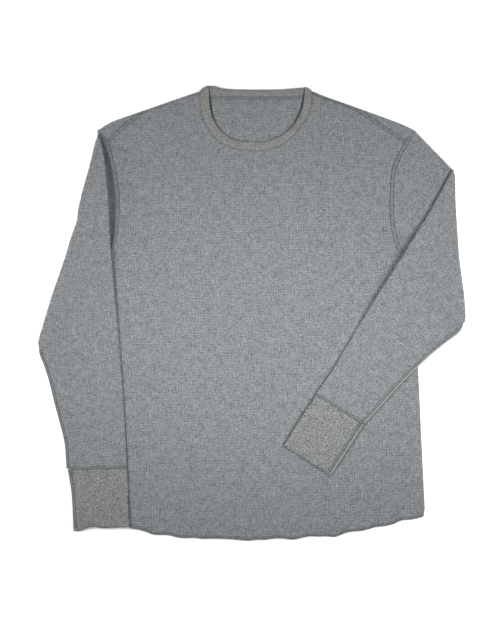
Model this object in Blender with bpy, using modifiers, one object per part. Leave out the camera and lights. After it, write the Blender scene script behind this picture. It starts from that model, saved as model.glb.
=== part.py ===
"""Long-sleeved waffle-knit thermal top, lying flat on its back, front up, with each
sleeve folded once, forward over the front.

Frame: +X to the wearer's left, +Y to the neck, +Z up from the surface it lies on.
The origin is on that surface, in the middle of the outline. Sizes below are in
millimetres; meshes are in metres.

Every piece is a cloth wall WALL thick. From the surface up, the layers are
    back panel / back half of each sleeve              level 0
    front panel / front half of each sleeve            level 1
    folded forearm, its front half (turned downward)   level 2
    folded forearm, its back half (now on top)         level 3
with GAP between them, and GAP between pieces that meet at a seam.
"""
import math

import bmesh
import bpy
from mathutils import Vector

MM = 0.001

# ---------------------------------------------------------------- driving sizes
WALL = 1.6                      # thickness of the knit
GAP = 0.3                       # air between layers, and at seams
PITCH = WALL + GAP              # one layer to the next
ROLL = WALL + GAP / 2           # outer radius where one layer rolls over into the next
ROLL_IN = GAP / 2               # inner radius of that roll
FOLD_MID = 2 * WALL + 1.5 * GAP  # height of the axis about which a sleeve folds
TUBE_MID = WALL + GAP / 2       # mid height of a tube lying flat

# Side of the body, from the shoulder tip down the armhole to the hem corner.
# columns: height y, wearer's right edge x, wearer's left edge x
SIDE = (
    (301.3, -254.0, 268.8),
    (281.0, -237.5, 256.0),
    (250.0, -229.0, 240.0),
    (228.0, -223.5, 233.5),
    (195.0, -219.0, 231.5),
    (160.0, -219.0, 231.5),
    (135.0, -221.0, 234.5),
    (112.0, -227.5, 241.0),
    (92.0, -238.0, 251.5),
    (70.0, -252.5, 265.5),
    (-10.0, -257.0, 270.0),
    (-91.0, -261.0, 274.5),
    (-210.0, -267.0, 280.0),
    (-324.0, -272.5, 285.5),
)
ARMPIT_ROW = 9                  # row of SIDE at the armpit
SEAM_ROW = 1                    # row of SIDE where the shoulder seam meets the armhole
YOKE_ROW = 5                    # row of SIDE tied to the foot of the neck curve
NECK_FOOT = 0.62                # where that foot is on the curve, from 0 in the middle to 1

# Shoulder, from the armhole in to the neck: the top edge, where the back panel rolls
# forward, and the shoulder seam, where it meets the front.
# columns: top edge x, y, seam x, y
SHOULDER_LEFT = (
    (268.8, 301.3, 256.0, 281.0),
    (246.0, 312.0, 225.0, 301.5),
    (195.0, 331.0, 185.0, 327.5),
    (158.0, 344.3, 155.0, 341.6),
    (124.0, 356.2, 123.0, 352.8),
    (100.7, 365.5, 100.5, 361.7),
)
SHOULDER_RIGHT = (
    (-254.0, 300.8, -237.5, 281.0),
    (-230.0, 315.1, -209.0, 308.6),
    (-183.0, 332.0, -178.0, 329.9),
    (-148.0, 344.1, -146.5, 340.6),
    (-114.0, 356.0, -113.5, 352.3),
    (-86.8, 365.1, -86.5, 361.1),
)

# Hem: lowest in the middle, rising to both corners.
HEM_Y = -374.5
HEM_RISE = 40.0
HEM_HALF = 279.0
HEM_POWER = 2.2
HEM_CORNER = 4.0

# Neck: the neckband is a ring of rib, in front an arc, behind a shallow curve.
NECK_X = 9.4                    # middle of the neck
FRONT_IN_Y = 281.2              # lowest point of the opening
FRONT_OUT_Y = 268.0             # lowest point of the seam
BACK_IN_Y = 368.2               # back of the opening
BACK_OUT_Y = 356.2              # back of the seam
NECK_FLAT = 0.45                # how far out the back of the opening runs level
NECK_TUCK_FROM = 0.7            # where the seam starts to draw in toward the high point
# columns: side (+1 wearer's left), half width of the opening, half width of the seam that
# holds the band, how far that seam draws in at the top, top of the opening y, top of the
# seam y
NECK_SIDES = (
    (-1, 79.4, 97.2, 2.4, 373.0, 364.4),
    (1, 78.4, 93.2, 3.0, 372.5, 364.8),
)
# Fullness of the arc in five equal steps from its foot to its top, for the opening and for
# the seam of each side.
NECK_FULL = {
    (-1, False): (2.32, 2.90, 2.76, 2.82, 3.05, 3.20),
    (-1, True): (2.32, 2.55, 2.44, 2.27, 2.25, 2.50),
    (1, False): (2.32, 2.09, 2.16, 2.23, 2.26, 2.31),
    (1, True): (2.32, 2.06, 1.90, 1.82, 1.83, 2.05),
}

# Sleeve fold, from the overarm edge down to the underarm seam.
# columns: x, y
FOLD_LEFT = (
    (335.6, 236.0), (336.4, 190.0), (338.9, 144.0), (342.5, 94.5), (346.4, 61.5), (350.8, 29.0), (352.8, 2.0),
    (353.4, -16.0),
)
FOLD_RIGHT = (
    (-256.0, 294.2), (-257.6, 283.0), (-262.6, 260.0), (-269.2, 235.0), (-277.4, 206.0), (-285.2, 174.0),
    (-288.6, 150.0), (-296.6, 128.0), (-311.0, 81.0), (-325.0, 41.5), (-337.6, 2.0), (-353.7, -52.0),
)

# Folded forearm, from the fold to the cuff seam.
# columns: overarm edge x, y, underarm seam x, y
FOREARM_LEFT = (
    (291.0, 162.0, 341.9, -33.1),
    (248.5, 94.0, 316.8, -52.5),
    (205.5, 25.0, 285.2, -79.0),
    (162.5, -45.0, 250.5, -113.3),
    (132.0, -96.0, 215.0, -152.0),
    (106.5, -133.5, 187.0, -182.5),
)
FOREARM_RIGHT = (
    (-244.5, 265.0, -349.0, -69.0),
    (-239.5, 225.0, -341.5, -89.0),
    (-235.5, 178.0, -333.0, -116.0),
    (-231.5, 100.0, -325.0, -149.0),
    (-223.0, 0.0, -316.0, -183.0),
    (-213.0, -120.0, -308.5, -215.0),
    (-205.0, -253.5, -305.3, -257.0),
)
# Cuffs, from the seam to the open end.
# columns: overarm edge x, y, underarm edge x, y
CUFF_LEFT = ((106.5, -135.5, 185.0, -184.5), (79.5, -176.5, 158.0, -226.5), (53.6, -218.0, 130.7, -268.3))
CUFF_RIGHT = ((-205.0, -255.5, -303.0, -259.0), (-203.8, -296.0, -296.8, -300.0), (-201.3, -352.8, -293.8, -358.0))

# Where a folded forearm runs out past the layers under it, it comes down to the surface.
DRAPE_START = 12.0              # how far out it still lies level
DRAPE_RUN = 30.0                # how far the descent takes

# how finely each piece is divided
SIDE_UP = 8                     # below the armpit; above it, the rows of SIDE
YOKE_ACROSS = 5                 # intervals along each shoulder, one for each row of its table
NECK_ACROSS = 8                 # round the foot of the neck curve
CUFF_ACROSS = 5
UPPER_ROWS, FOLD_STEPS, FORE_ROWS, CUFF_ROWS = 4, 6, 11, 3
EDGE_STEPS = 4
BAND_BACK, BAND_FOLD = 12, 4


# ---------------------------------------------------------------- plane curves
def lerp(a, b, t):
    return a + (b - a) * t


def smoothstep(t):
    t = min(max(t, 0.0), 1.0)
    return t * t * (3 - 2 * t)


def smooth_through(points, per=12):
    """A fine smooth line through a few plane points (Catmull-Rom)."""
    pts = [Vector(p) for p in points]
    ends = [2 * pts[0] - pts[1]] + pts + [2 * pts[-1] - pts[-2]]
    out = []
    for k in range(1, len(ends) - 2):
        p0, p1, p2, p3 = ends[k - 1:k + 3]
        for i in range(per):
            t = i / per
            out.append(0.5 * (2 * p1 + (p2 - p0) * t + (2 * p0 - 5 * p1 + 4 * p2 - p3) * t * t
                              + (3 * p1 - p0 - 3 * p2 + p3) * t ** 3))
    return out + [pts[-1]]


def even(line, n):
    """n + 1 points evenly spaced along a fine line."""
    run = [0.0]
    for a, b in zip(line, line[1:]):
        run.append(run[-1] + (b - a).length)
    out, k = [], 0
    for i in range(n + 1):
        want = run[-1] * i / n
        while k < len(line) - 2 and run[k + 1] < want:
            k += 1
        step = run[k + 1] - run[k]
        out.append(lerp(line[k], line[k + 1], (want - run[k]) / step if step else 0.0))
    return out


def side_stations(side, first):
    """The body's edge from a row of SIDE down to the hem corner: row by row down the
    armhole, then evenly down the side. Pieces that meet there share these points."""
    col = 2 if side > 0 else 1
    rows = [Vector((row[col], row[0])) for row in SIDE]
    return rows[first:ARMPIT_ROW] + even(smooth_through(rows[ARMPIT_ROW:]), SIDE_UP)


def hem_line():
    """The hem from the wearer's right corner to the left one, corners rounded."""
    x0 = SIDE[-1][1] + HEM_CORNER
    x1 = SIDE[-1][2] - HEM_CORNER
    line = [Vector((SIDE[-1][1], SIDE[-1][0])), Vector((SIDE[-1][1] + 0.3 * HEM_CORNER, SIDE[-1][0] - 0.75 * HEM_CORNER))]
    for i in range(41):
        x = lerp(x0, x1, i / 40)
        line.append(Vector((x, HEM_Y + HEM_RISE * abs(x / HEM_HALF) ** HEM_POWER)))
    line += [Vector((SIDE[-1][2] - 0.3 * HEM_CORNER, SIDE[-1][0] - 0.75 * HEM_CORNER)), Vector((SIDE[-1][2], SIDE[-1][0]))]
    return line


def neck_front(t, outer, grow=0.0):
    """A point on the front neck curve; t runs from -1, wearer's right, to 1."""
    side, half_in, half_out, tuck, top_in, top_out = NECK_SIDES[0] if t < 0 else NECK_SIDES[1]
    half_out -= tuck * smoothstep((abs(t) - NECK_TUCK_FROM) / (1 - NECK_TUCK_FROM))
    half, top, foot = (half_out, top_out, FRONT_OUT_Y) if outer else (half_in, top_in, FRONT_IN_Y)
    half, foot = half + grow, foot - grow
    steps = NECK_FULL[side, outer]
    k = min(int(abs(t) * 5), 4)
    full = lerp(steps[k], steps[k + 1], smoothstep(abs(t) * 5 - k))
    a = (1 - abs(t)) * math.pi / 2
    return Vector((NECK_X + side * half * math.cos(a) ** (2 / full),
                   top - (top - foot) * math.sin(a) ** (2 / full)))


def neck_back(t, outer, grow=0.0):
    """A point on the back neck curve; t is -1 and 1 at the two high points."""
    half_in, half_out, tuck, top_in, top_out = (NECK_SIDES[0] if t < 0 else NECK_SIDES[1])[1:6]
    if outer:
        return Vector((NECK_X + (half_out - tuck + grow) * t,
                       BACK_OUT_Y - grow + (top_out - BACK_OUT_Y) * (1 - (1 - t ** 4) ** 0.25)))
    rise = max(0.0, (abs(t) - NECK_FLAT) / (1 - NECK_FLAT)) ** 1.6
    return Vector((NECK_X + half_in * t, BACK_IN_Y + (top_in - BACK_IN_Y) * rise))


# ---------------------------------------------------------------- mesh helpers
def make(name, bm, collection, colour, roughness, smooth=True):
    mesh = bpy.data.meshes.new(name)
    bm.to_mesh(mesh)
    bm.free()
    obj = bpy.data.objects.new(name, mesh)
    collection.objects.link(obj)
    mat = bpy.data.materials.new(name + "_cloth")
    mat.use_nodes = True
    shader = mat.node_tree.nodes["Principled BSDF"]
    shader.inputs["Base Color"].default_value = (*colour, 1.0)
    shader.inputs["Roughness"].default_value = roughness
    shader.inputs["Metallic"].default_value = 0.0
    mesh.materials.append(mat)
    if smooth:
        mesh.shade_smooth()
        mesh.set_sharp_from_angle(angle=math.radians(40))
    return obj


def patch(bm, low, high, left, right, height):
    """A sheet stretched between four edges. low and high run across, left and right run
    up; height is the sheet's mid level, or a function of the row giving points."""
    n, m = len(low) - 1, len(left) - 1
    grid = bmesh.ops.create_grid(bm, x_segments=n, y_segments=m, size=0.5)["verts"]
    for v in grid:
        i, j = round((v.co.x + 0.5) * n), round((v.co.y + 0.5) * m)
        u, w = i / n, j / m
        p = (lerp(low[i], high[i], w) + lerp(left[j], right[j], u)
             - lerp(lerp(low[0], low[n], u), lerp(high[0], high[n], u), w))
        v.co = Vector((p.x, p.y, height)) * MM


def roll_and_flap(bm, edge, seam, turn_steps, flap_rows):
    """The back panel past its top edge: a half turn up to the front level, then the
    flap down to the shoulder seam."""
    n = len(edge) - 1
    mid = (ROLL + ROLL_IN) / 2
    rows = []
    for s in range(turn_steps + 1):
        a = math.pi * s / turn_steps
        row = []
        for i, p in enumerate(edge):
            along = (edge[min(i + 1, n)] - edge[max(i - 1, 0)]).normalized()
            out = Vector((-along.y, along.x))
            if out.y < 0:
                out = -out
            if i == 0:                            # the end lies along the armhole seam
                out = (edge[0] - seam[0]).normalized()
            q = p + out * mid * math.sin(a)
            row.append(Vector((q.x, q.y, TUBE_MID - mid * math.cos(a))))
        rows.append(row)
    for s in range(1, flap_rows + 1):
        rows.append([Vector((*lerp(edge[i], seam[i], s / flap_rows), TUBE_MID + mid)) for i in range(n + 1)])
    verts = bmesh.ops.create_grid(bm, x_segments=n, y_segments=len(rows) - 1, size=0.5)["verts"]
    for v in verts:
        i, j = round((v.co.x + 0.5) * n), round((v.co.y + 0.5) * (len(rows) - 1))
        v.co = rows[j][i] * MM


def finish_panel(name, bm, collection, colour, roughness):
    bmesh.ops.remove_doubles(bm, verts=bm.verts, dist=0.00002)
    bmesh.ops.recalc_face_normals(bm, faces=bm.faces)
    obj = make(name, bm, collection, colour, roughness)
    wall = obj.modifiers.new("wall", "SOLIDIFY")
    wall.thickness = WALL * MM
    wall.offset = 0.0
    wall.use_even_offset = True
    wall.use_quality_normals = True
    return obj


def loft(name, rings, collection, colour, roughness):
    """A closed wall through a closed run of closed rings, as a torus is."""
    bm = bmesh.new()
    grid = [[bm.verts.new(p * MM) for p in ring] for ring in rings]
    rows, cols = len(grid), len(grid[0])
    for j in range(rows):
        for i in range(cols):
            bm.faces.new((grid[j][i], grid[j][(i + 1) % cols],
                          grid[(j + 1) % rows][(i + 1) % cols], grid[(j + 1) % rows][i]))
    bmesh.ops.recalc_face_normals(bm, faces=bm.faces)
    return make(name, bm, collection, colour, roughness)


# ---------------------------------------------------------------- body panels
def shoulder(side):
    rows = SHOULDER_LEFT if side > 0 else SHOULDER_RIGHT
    return [Vector(r[:2]) for r in rows], [Vector(r[2:]) for r in rows]


def moved(line, toward, by):
    """A line moved bodily toward one side."""
    out, n = [], len(line) - 1
    for i, p in enumerate(line):
        along = (line[min(i + 1, n)] - line[max(i - 1, 0)]).normalized()
        normal = Vector((-along.y, along.x))
        if normal.dot(toward) < 0:
            normal = -normal
        out.append(p + normal * by)
    return out


def neck_stations():
    """Where the front neck curve is divided, for the front panel and the band alike."""
    foot, k = NECK_FOOT, YOKE_ROW - SEAM_ROW
    mid = [lerp(-foot, foot, i / NECK_ACROSS) for i in range(NECK_ACROSS + 1)]
    out = [lerp(foot, 1.0, i / k) for i in range(1, k + 1)]
    return [-t for t in reversed(out)], mid, out


def build_front(collection, colour, roughness):
    """Front panel at level 1, in three sheets that share their edges: the body below the
    neck, and one each side of the neck up to the shoulder seam."""
    z = PITCH + WALL / 2
    bm = bmesh.new()
    k = YOKE_ACROSS
    left = side_stations(-1, YOKE_ROW)[::-1]
    right = side_stations(1, YOKE_ROW)[::-1]
    _, mid, out = neck_stations()
    neck = [neck_front(t, True, GAP) for t in mid]
    ties = {-1: even([left[-1], neck[0]], k), 1: even([neck[-1], right[-1]], k)}
    top = ties[-1] + neck[1:-1] + ties[1]
    patch(bm, even(hem_line(), len(top) - 1), top, left, right, z)
    for side in (-1, 1):
        seam = moved(shoulder(side)[1], Vector((0, -1)), GAP)
        arm = side_stations(side, SEAM_ROW)[:YOKE_ROW - SEAM_ROW + 1][::-1]
        arm[-1] = seam[0] = lerp(arm[-1], arm[-2], GAP / (arm[-1] - arm[-2]).length)
        neckside = [neck_front(side * t, True, GAP) for t in [NECK_FOOT] + out[:-1]] + [seam[-1]]
        if side < 0:
            patch(bm, ties[-1], seam, arm, neckside, z)
        else:
            patch(bm, ties[1], seam[::-1], neckside, arm, z)
    return finish_panel("front", bm, collection, colour, roughness)


def build_back(collection, colour, roughness):
    """Back panel at level 0, with the roll over each shoulder and the flap to its seam."""
    z = WALL / 2
    bm = bmesh.new()
    tops, seams = {}, {}
    for side in (-1, 1):
        tops[side], seams[side] = shoulder(side)
        tops[side] = moved(tops[side], Vector((0, -1)), ROLL)
        tip, foot = side_stations(side, 0)[:2]
        tops[side][0] = tip + (foot - tip).normalized() * ROLL
    neck = [neck_back(-math.cos(math.pi * i / BAND_BACK), True, GAP) for i in range(1, BAND_BACK)]
    top = tops[-1] + neck + tops[1][::-1]
    left = side_stations(-1, 0)[::-1]
    right = side_stations(1, 0)[::-1]
    left[-1], right[-1] = top[0], top[-1]
    patch(bm, even(hem_line(), len(top) - 1), top, left, right, z)
    for side in (-1, 1):
        roll_and_flap(bm, tops[side], seams[side], 4, 2)
    return finish_panel("back", bm, collection, colour, roughness)


# ---------------------------------------------------------------- sleeves and cuffs
def side_x(side, y):
    """The body's edge below the armpit, at a height."""
    col = 2 if side > 0 else 1
    rows = SIDE[ARMPIT_ROW:]
    for a, b in zip(rows, rows[1:]):
        if b[0] <= y <= a[0]:
            return lerp(a[col], b[col], (a[0] - y) / (a[0] - b[0]))
    return rows[0][col] if y > rows[0][0] else rows[-1][col]


def drape(side, p):
    """How far a folded forearm has come down at a plane point: nothing over the body and
    the upper sleeve, and down to the surface well past both."""
    armpit = Vector((SIDE[ARMPIT_ROW][2 if side > 0 else 1], SIDE[ARMPIT_ROW][0]))
    corner = Vector((FOLD_LEFT if side > 0 else FOLD_RIGHT)[-1])
    past_body = side * (p.x - side_x(side, p.y))
    along = (corner - armpit).normalized()
    down = Vector((along.y, -along.x))
    if down.y > 0:
        down = -down
    past_sleeve = (p - armpit).dot(down)
    past = min(past_body, past_sleeve)
    return 2 * PITCH * smoothstep((past - DRAPE_START) / DRAPE_RUN)


def tube_ring(row, radius, steps):
    """A flattened ring round a row of plane points: along the upper layer, round the
    underarm edge, back along the lower layer and round the overarm edge.
    Gives plane points with their height above the tube's mid level."""
    first = (row[0] - row[1]).normalized()
    last = (row[-1] - row[-2]).normalized()
    ring = [(p, radius) for p in row]
    ring += [(row[-1] + last * radius * math.sin(math.pi * s / steps), radius * math.cos(math.pi * s / steps))
             for s in range(1, steps)]
    ring += [(p, -radius) for p in reversed(row)]
    ring += [(row[0] + first * radius * math.sin(math.pi * s / steps), -radius * math.cos(math.pi * s / steps))
             for s in range(1, steps)]
    return ring


def trimmed(row, by):
    """A row shortened at both ends, to leave room for the rounded edges."""
    line = [p.copy() for p in row]
    line[0] = row[0] + (row[1] - row[0]).normalized() * by
    line[-1] = row[-1] + (row[-2] - row[-1]).normalized() * by
    return line


def between(row_a, row_b, t):
    return [lerp(a, b, t) for a, b in zip(row_a, row_b)]


def table_rows(start, table, count, across):
    """Evenly divided straight rows following a forearm table from its first row; the
    first interval starts from a given row and straightens along the way."""
    over = even(smooth_through([tuple(start[0])] + [r[:2] for r in table]), count)
    under = even(smooth_through([tuple(start[-1])] + [r[2:] for r in table]), count)
    rows = []
    for k in range(1, count + 1):
        straight = [lerp(over[k], under[k], i / across) for i in range(across + 1)]
        bow = max(0.0, 1 - k / (0.5 * count))
        base = [lerp(start[0], start[-1], i / across) for i in range(across + 1)]
        rows.append([s + (p - b) * bow * 0.8 for s, p, b in zip(straight, start, base)])
    return rows


def build_sleeve(side, name, collection, colour, roughness):
    n = ARMPIT_ROW
    arm = moved(side_stations(side, 0)[:n + 1], Vector((side, 0)), GAP)
    # the fold line is where the cloth turns, inside its own outline
    fold = even(smooth_through(FOLD_LEFT if side > 0 else FOLD_RIGHT), n)
    fold = moved(fold, Vector((-side, 0)), FOLD_MID)
    turn = []
    for i in range(n + 1):
        along = (fold[min(i + 1, n)] - fold[max(i - 1, 0)]).normalized()
        normal = Vector((-along.y, along.x))
        turn.append(normal if normal.x * side > 0 else -normal)
    fore = table_rows(fold, FOREARM_LEFT if side > 0 else FOREARM_RIGHT, FORE_ROWS, n)

    steps = [(between(arm, fold, k / UPPER_ROWS), 0.0) for k in range(UPPER_ROWS + 1)]
    steps += [(fold, math.pi * k / FOLD_STEPS) for k in range(1, FOLD_STEPS + 1)]
    steps += [(row, math.pi) for row in fore]

    def rings(radius):
        out = []
        for row, angle in steps:
            ring = []
            for i, (p, h) in enumerate(tube_ring(trimmed(row, ROLL), radius, EDGE_STEPS)):
                reach = FOLD_MID - (TUBE_MID + h)
                # the nearest point of the fold gives the way it turns
                k = i if i <= n else (n if i < n + EDGE_STEPS else max(0, 2 * n + EDGE_STEPS - i))
                q = p + turn[k] * reach * math.sin(angle)
                z = FOLD_MID - reach * math.cos(angle)
                if angle > 3:
                    z -= drape(side, p)
                ring.append(Vector((q.x, q.y, z)))
            out.append(ring)
        return out

    return loft(name, rings(ROLL) + rings(ROLL_IN)[::-1], collection, colour, roughness)


def build_cuff(side, name, collection, colour, roughness):
    table = CUFF_LEFT if side > 0 else CUFF_RIGHT
    n = CUFF_ACROSS
    over = even(smooth_through([r[:2] for r in table]), CUFF_ROWS)
    under = even(smooth_through([r[2:] for r in table]), CUFF_ROWS)

    def rings(radius):
        out = []
        for a, b in zip(over, under):
            row = [lerp(a, b, i / n) for i in range(n + 1)]
            out.append([Vector((p.x, p.y, 2 * PITCH + TUBE_MID + h - drape(side, p)))
                        for p, h in tube_ring(trimmed(row, ROLL), radius, EDGE_STEPS)])
        return out

    return loft(name, rings(ROLL) + rings(ROLL_IN)[::-1], collection, colour, roughness)


# ---------------------------------------------------------------- neckband
def build_neckband(collection, colour, roughness):
    """A ring of rib: the front arc at level 1, the back curve at level 0, and a half turn
    over the top at each high point of the neck."""
    soft = 0.45                                   # rounding of the band's edges

    def section(a, b, angle, turn):
        """Rounded rectangle from the opening's edge a to the seam's edge b."""
        width = (b - a).length
        across = (b - a) / width
        ring = []
        for w, r in ((soft, ROLL_IN), (0, ROLL_IN + soft), (0, ROLL - soft), (soft, ROLL),
                     (width - soft, ROLL), (width, ROLL - soft), (width, ROLL_IN + soft), (width - soft, ROLL_IN)):
            p = a + across * w + turn * r * math.sin(angle)
            ring.append(Vector((p.x, p.y, TUBE_MID + r * math.cos(angle))))
        return ring

    none = Vector((0.0, 0.0))
    rings = []
    for t in sum(neck_stations(), []):
        rings.append(section(neck_front(t, False), neck_front(t, True), 0.0, none))
    for side, way in ((1, 1), (-1, -1)):
        a, b = neck_front(side, False), neck_front(side, True)
        turn = Vector((-(b - a).y, (b - a).x)).normalized()
        turn = turn if turn.y > 0 else -turn
        half = [section(a, b, math.pi * s / BAND_FOLD, turn) for s in range(1, BAND_FOLD + 1)]
        if side > 0:
            rings += half
            for k in range(1, BAND_BACK):
                t = math.cos(math.pi * k / BAND_BACK)
                rings.append(section(neck_back(t, False), neck_back(t, True), math.pi, none))
        else:
            rings += half[::-1]
    return loft("neckband", rings, collection, colour, roughness)


def main():
    for obj in list(bpy.data.objects):
        bpy.data.objects.remove(obj, do_unlink=True)
    collection = bpy.data.collections.new("thermal_top")
    bpy.context.scene.collection.children.link(collection)
    knit, rib, rough = (0.27, 0.29, 0.30), (0.26, 0.265, 0.25), 0.95
    build_back(collection, knit, rough)
    build_front(collection, knit, rough)
    build_sleeve(1, "sleeve_left", collection, knit, rough)
    build_sleeve(-1, "sleeve_right", collection, knit, rough)
    build_cuff(1, "cuff_left", collection, rib, rough)
    build_cuff(-1, "cuff_right", collection, rib, rough)
    build_neckband(collection, rib, rough)


main()
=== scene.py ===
"""Looks for the long-sleeved waffle-knit thermal top, laid flat, front up, sleeves folded
forward once. Sizes are in millimetres in the row frame; meshes are made in metres.
Every cloth piece is a thin closed shell on the form of the CAD solid it stands for."""
import math

import bpy
import numpy as np
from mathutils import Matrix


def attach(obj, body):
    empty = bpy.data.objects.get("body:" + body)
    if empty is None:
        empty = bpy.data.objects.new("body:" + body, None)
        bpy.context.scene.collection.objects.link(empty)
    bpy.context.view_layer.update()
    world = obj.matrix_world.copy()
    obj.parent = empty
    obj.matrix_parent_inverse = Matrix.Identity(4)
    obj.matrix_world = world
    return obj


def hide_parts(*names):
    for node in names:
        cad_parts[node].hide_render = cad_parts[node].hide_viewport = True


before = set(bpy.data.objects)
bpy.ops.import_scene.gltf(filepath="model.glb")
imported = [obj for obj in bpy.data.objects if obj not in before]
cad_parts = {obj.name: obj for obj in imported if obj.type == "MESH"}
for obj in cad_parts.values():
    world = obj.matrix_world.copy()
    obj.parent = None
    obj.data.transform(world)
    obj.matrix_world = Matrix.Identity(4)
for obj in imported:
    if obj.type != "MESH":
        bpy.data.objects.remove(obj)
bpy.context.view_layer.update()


MM = 0.001

# ------------------------------------------------------------------ sizes, as in the CAD
WALL, GAP = 1.6, 0.3
PITCH = WALL + GAP
ROLL, ROLL_IN = WALL + GAP / 2, GAP / 2
MID = (ROLL + ROLL_IN) / 2
FOLD_MID = 2 * WALL + 1.5 * GAP
TUBE_MID = WALL + GAP / 2

SIDE = (
    (301.3, -254.0, 268.8), (281.0, -237.5, 256.0), (250.0, -229.0, 240.0), (228.0, -223.5, 233.5),
    (195.0, -219.0, 231.5), (160.0, -219.0, 231.5), (135.0, -221.0, 234.5), (112.0, -227.5, 241.0),
    (92.0, -238.0, 251.5), (70.0, -252.5, 265.5), (-10.0, -257.0, 270.0), (-91.0, -261.0, 274.5),
    (-210.0, -267.0, 280.0), (-324.0, -272.5, 285.5),
)
ARMPIT_ROW, SEAM_ROW, YOKE_ROW, NECK_FOOT = 9, 1, 5, 0.62
SHOULDER_LEFT = (
    (268.8, 301.3, 256.0, 281.0), (246.0, 312.0, 225.0, 301.5), (195.0, 331.0, 185.0, 327.5),
    (158.0, 344.3, 155.0, 341.6), (124.0, 356.2, 123.0, 352.8), (100.7, 365.5, 100.5, 361.7),
)
SHOULDER_RIGHT = (
    (-254.0, 300.8, -237.5, 281.0), (-230.0, 315.1, -209.0, 308.6), (-183.0, 332.0, -178.0, 329.9),
    (-148.0, 344.1, -146.5, 340.6), (-114.0, 356.0, -113.5, 352.3), (-86.8, 365.1, -86.5, 361.1),
)
HEM_Y, HEM_RISE, HEM_HALF, HEM_POWER, HEM_CORNER = -375.0, 40.0, 279.0, 2.2, 2.0
# how far the hem runs out past that even line, along it: x, further out
HEM_WAVE = (
    (-268, -1.4), (-252, -3.9), (-236, -1.0), (-221, -1.4), (-207, -2.1), (-194, -1.5), (-187, -2.0),
    (-174, 0.1), (-161, 2.4), (-148, 0.8), (-138, -0.7), (-121, 1.5), (-108, 1.1), (-95, -1.1), (-82, 0.0),
    (-65, -1.9), (-42, -2.6), (-22, -1.3), (-6, 0.5), (7, -1.4), (24, -1.3), (37, -3.5), (44, -4.8), (54, -2.4),
    (67, 0.6), (77, -0.5), (90, -3.4), (98, -4.9), (110, -1.3), (123, -0.6), (136, 2.7), (146, 1.2),
    (156, -1.7), (166, -2.6), (182, -0.3), (196, -1.1), (205, -2.2), (222, 0.1), (235, 0.2), (248, -3.0),
    (262, 0.5), (275, 2.1),
)
NECK_X, NECK_TUCK_FROM, NECK_FLAT = 9.4, 0.7, 0.45
FRONT_IN_Y, FRONT_OUT_Y, BACK_IN_Y, BACK_OUT_Y = 281.2, 268.0, 368.2, 356.2
NECK_SIDES = ((-1, 79.4, 97.2, 2.4, 374.2, 364.4), (1, 78.4, 93.2, 3.0, 371.8, 363.8))
NECK_FULL = {(-1, False): (2.32, 2.90, 2.76, 2.82, 3.05, 3.20), (-1, True): (2.32, 2.55, 2.44, 2.27, 2.25, 2.50),
             (1, False): (2.32, 2.09, 2.16, 2.23, 2.26, 2.31), (1, True): (2.32, 2.06, 1.90, 1.82, 1.83, 2.05)}
FOLD_LEFT = (
    (335.6, 236.0), (336.4, 190.0), (338.9, 144.0), (342.5, 94.5), (346.4, 61.5), (350.8, 29.0), (352.8, 2.0),
    (353.4, -16.0),
)
FOLD_RIGHT = (
    (-256.0, 294.2), (-257.6, 283.0), (-262.6, 260.0), (-269.2, 235.0), (-277.4, 206.0), (-285.2, 174.0),
    (-288.6, 150.0), (-296.6, 128.0), (-311.0, 81.0), (-325.0, 41.5), (-337.6, 2.0), (-353.7, -52.0),
)
FOREARM_LEFT = (
    (291.0, 162.0, 341.9, -33.1), (248.5, 94.0, 316.8, -52.5), (205.5, 25.0, 285.2, -79.0),
    (162.5, -45.0, 250.5, -113.3), (132.0, -96.0, 215.0, -152.0), (106.5, -133.5, 187.0, -182.5),
)
FOREARM_RIGHT = (
    (-244.5, 265.0, -349.0, -69.0), (-239.5, 225.0, -341.5, -89.0), (-235.5, 178.0, -333.0, -116.0),
    (-231.5, 100.0, -325.0, -149.0), (-223.0, 0.0, -316.0, -183.0), (-213.0, -120.0, -308.5, -215.0),
    (-205.0, -253.5, -305.3, -257.0),
)
CUFF_LEFT = ((106.5, -135.5, 185.0, -184.5), (79.5, -176.5, 158.0, -226.5), (53.6, -218.0, 130.7, -268.3))
CUFF_RIGHT = ((-205.0, -255.5, -303.0, -259.0), (-203.8, -296.0, -296.8, -300.0), (-201.3, -352.8, -293.8, -358.0))
DRAPE_START, DRAPE_RUN = 3.0, 22.0
# how the cuff ends waver: place from the overarm edge to the underarm seam, further out
CUFF_END = {
    1: ((0, 0.0), (0.2, 0.3), (0.4, -0.2), (0.6, 0.3), (0.8, -0.3), (1, 0.2)),
    -1: ((0, -0.7), (0.05, -0.7), (0.15, -0.8), (0.3, -1.2), (0.4, -0.8), (0.51, -1.3), (0.6, -3.6), (0.66, -3.5),
         (0.73, -2.6), (0.8, -0.5), (0.87, 1.6), (0.94, 2.1), (1, 1.2)),
}

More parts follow.
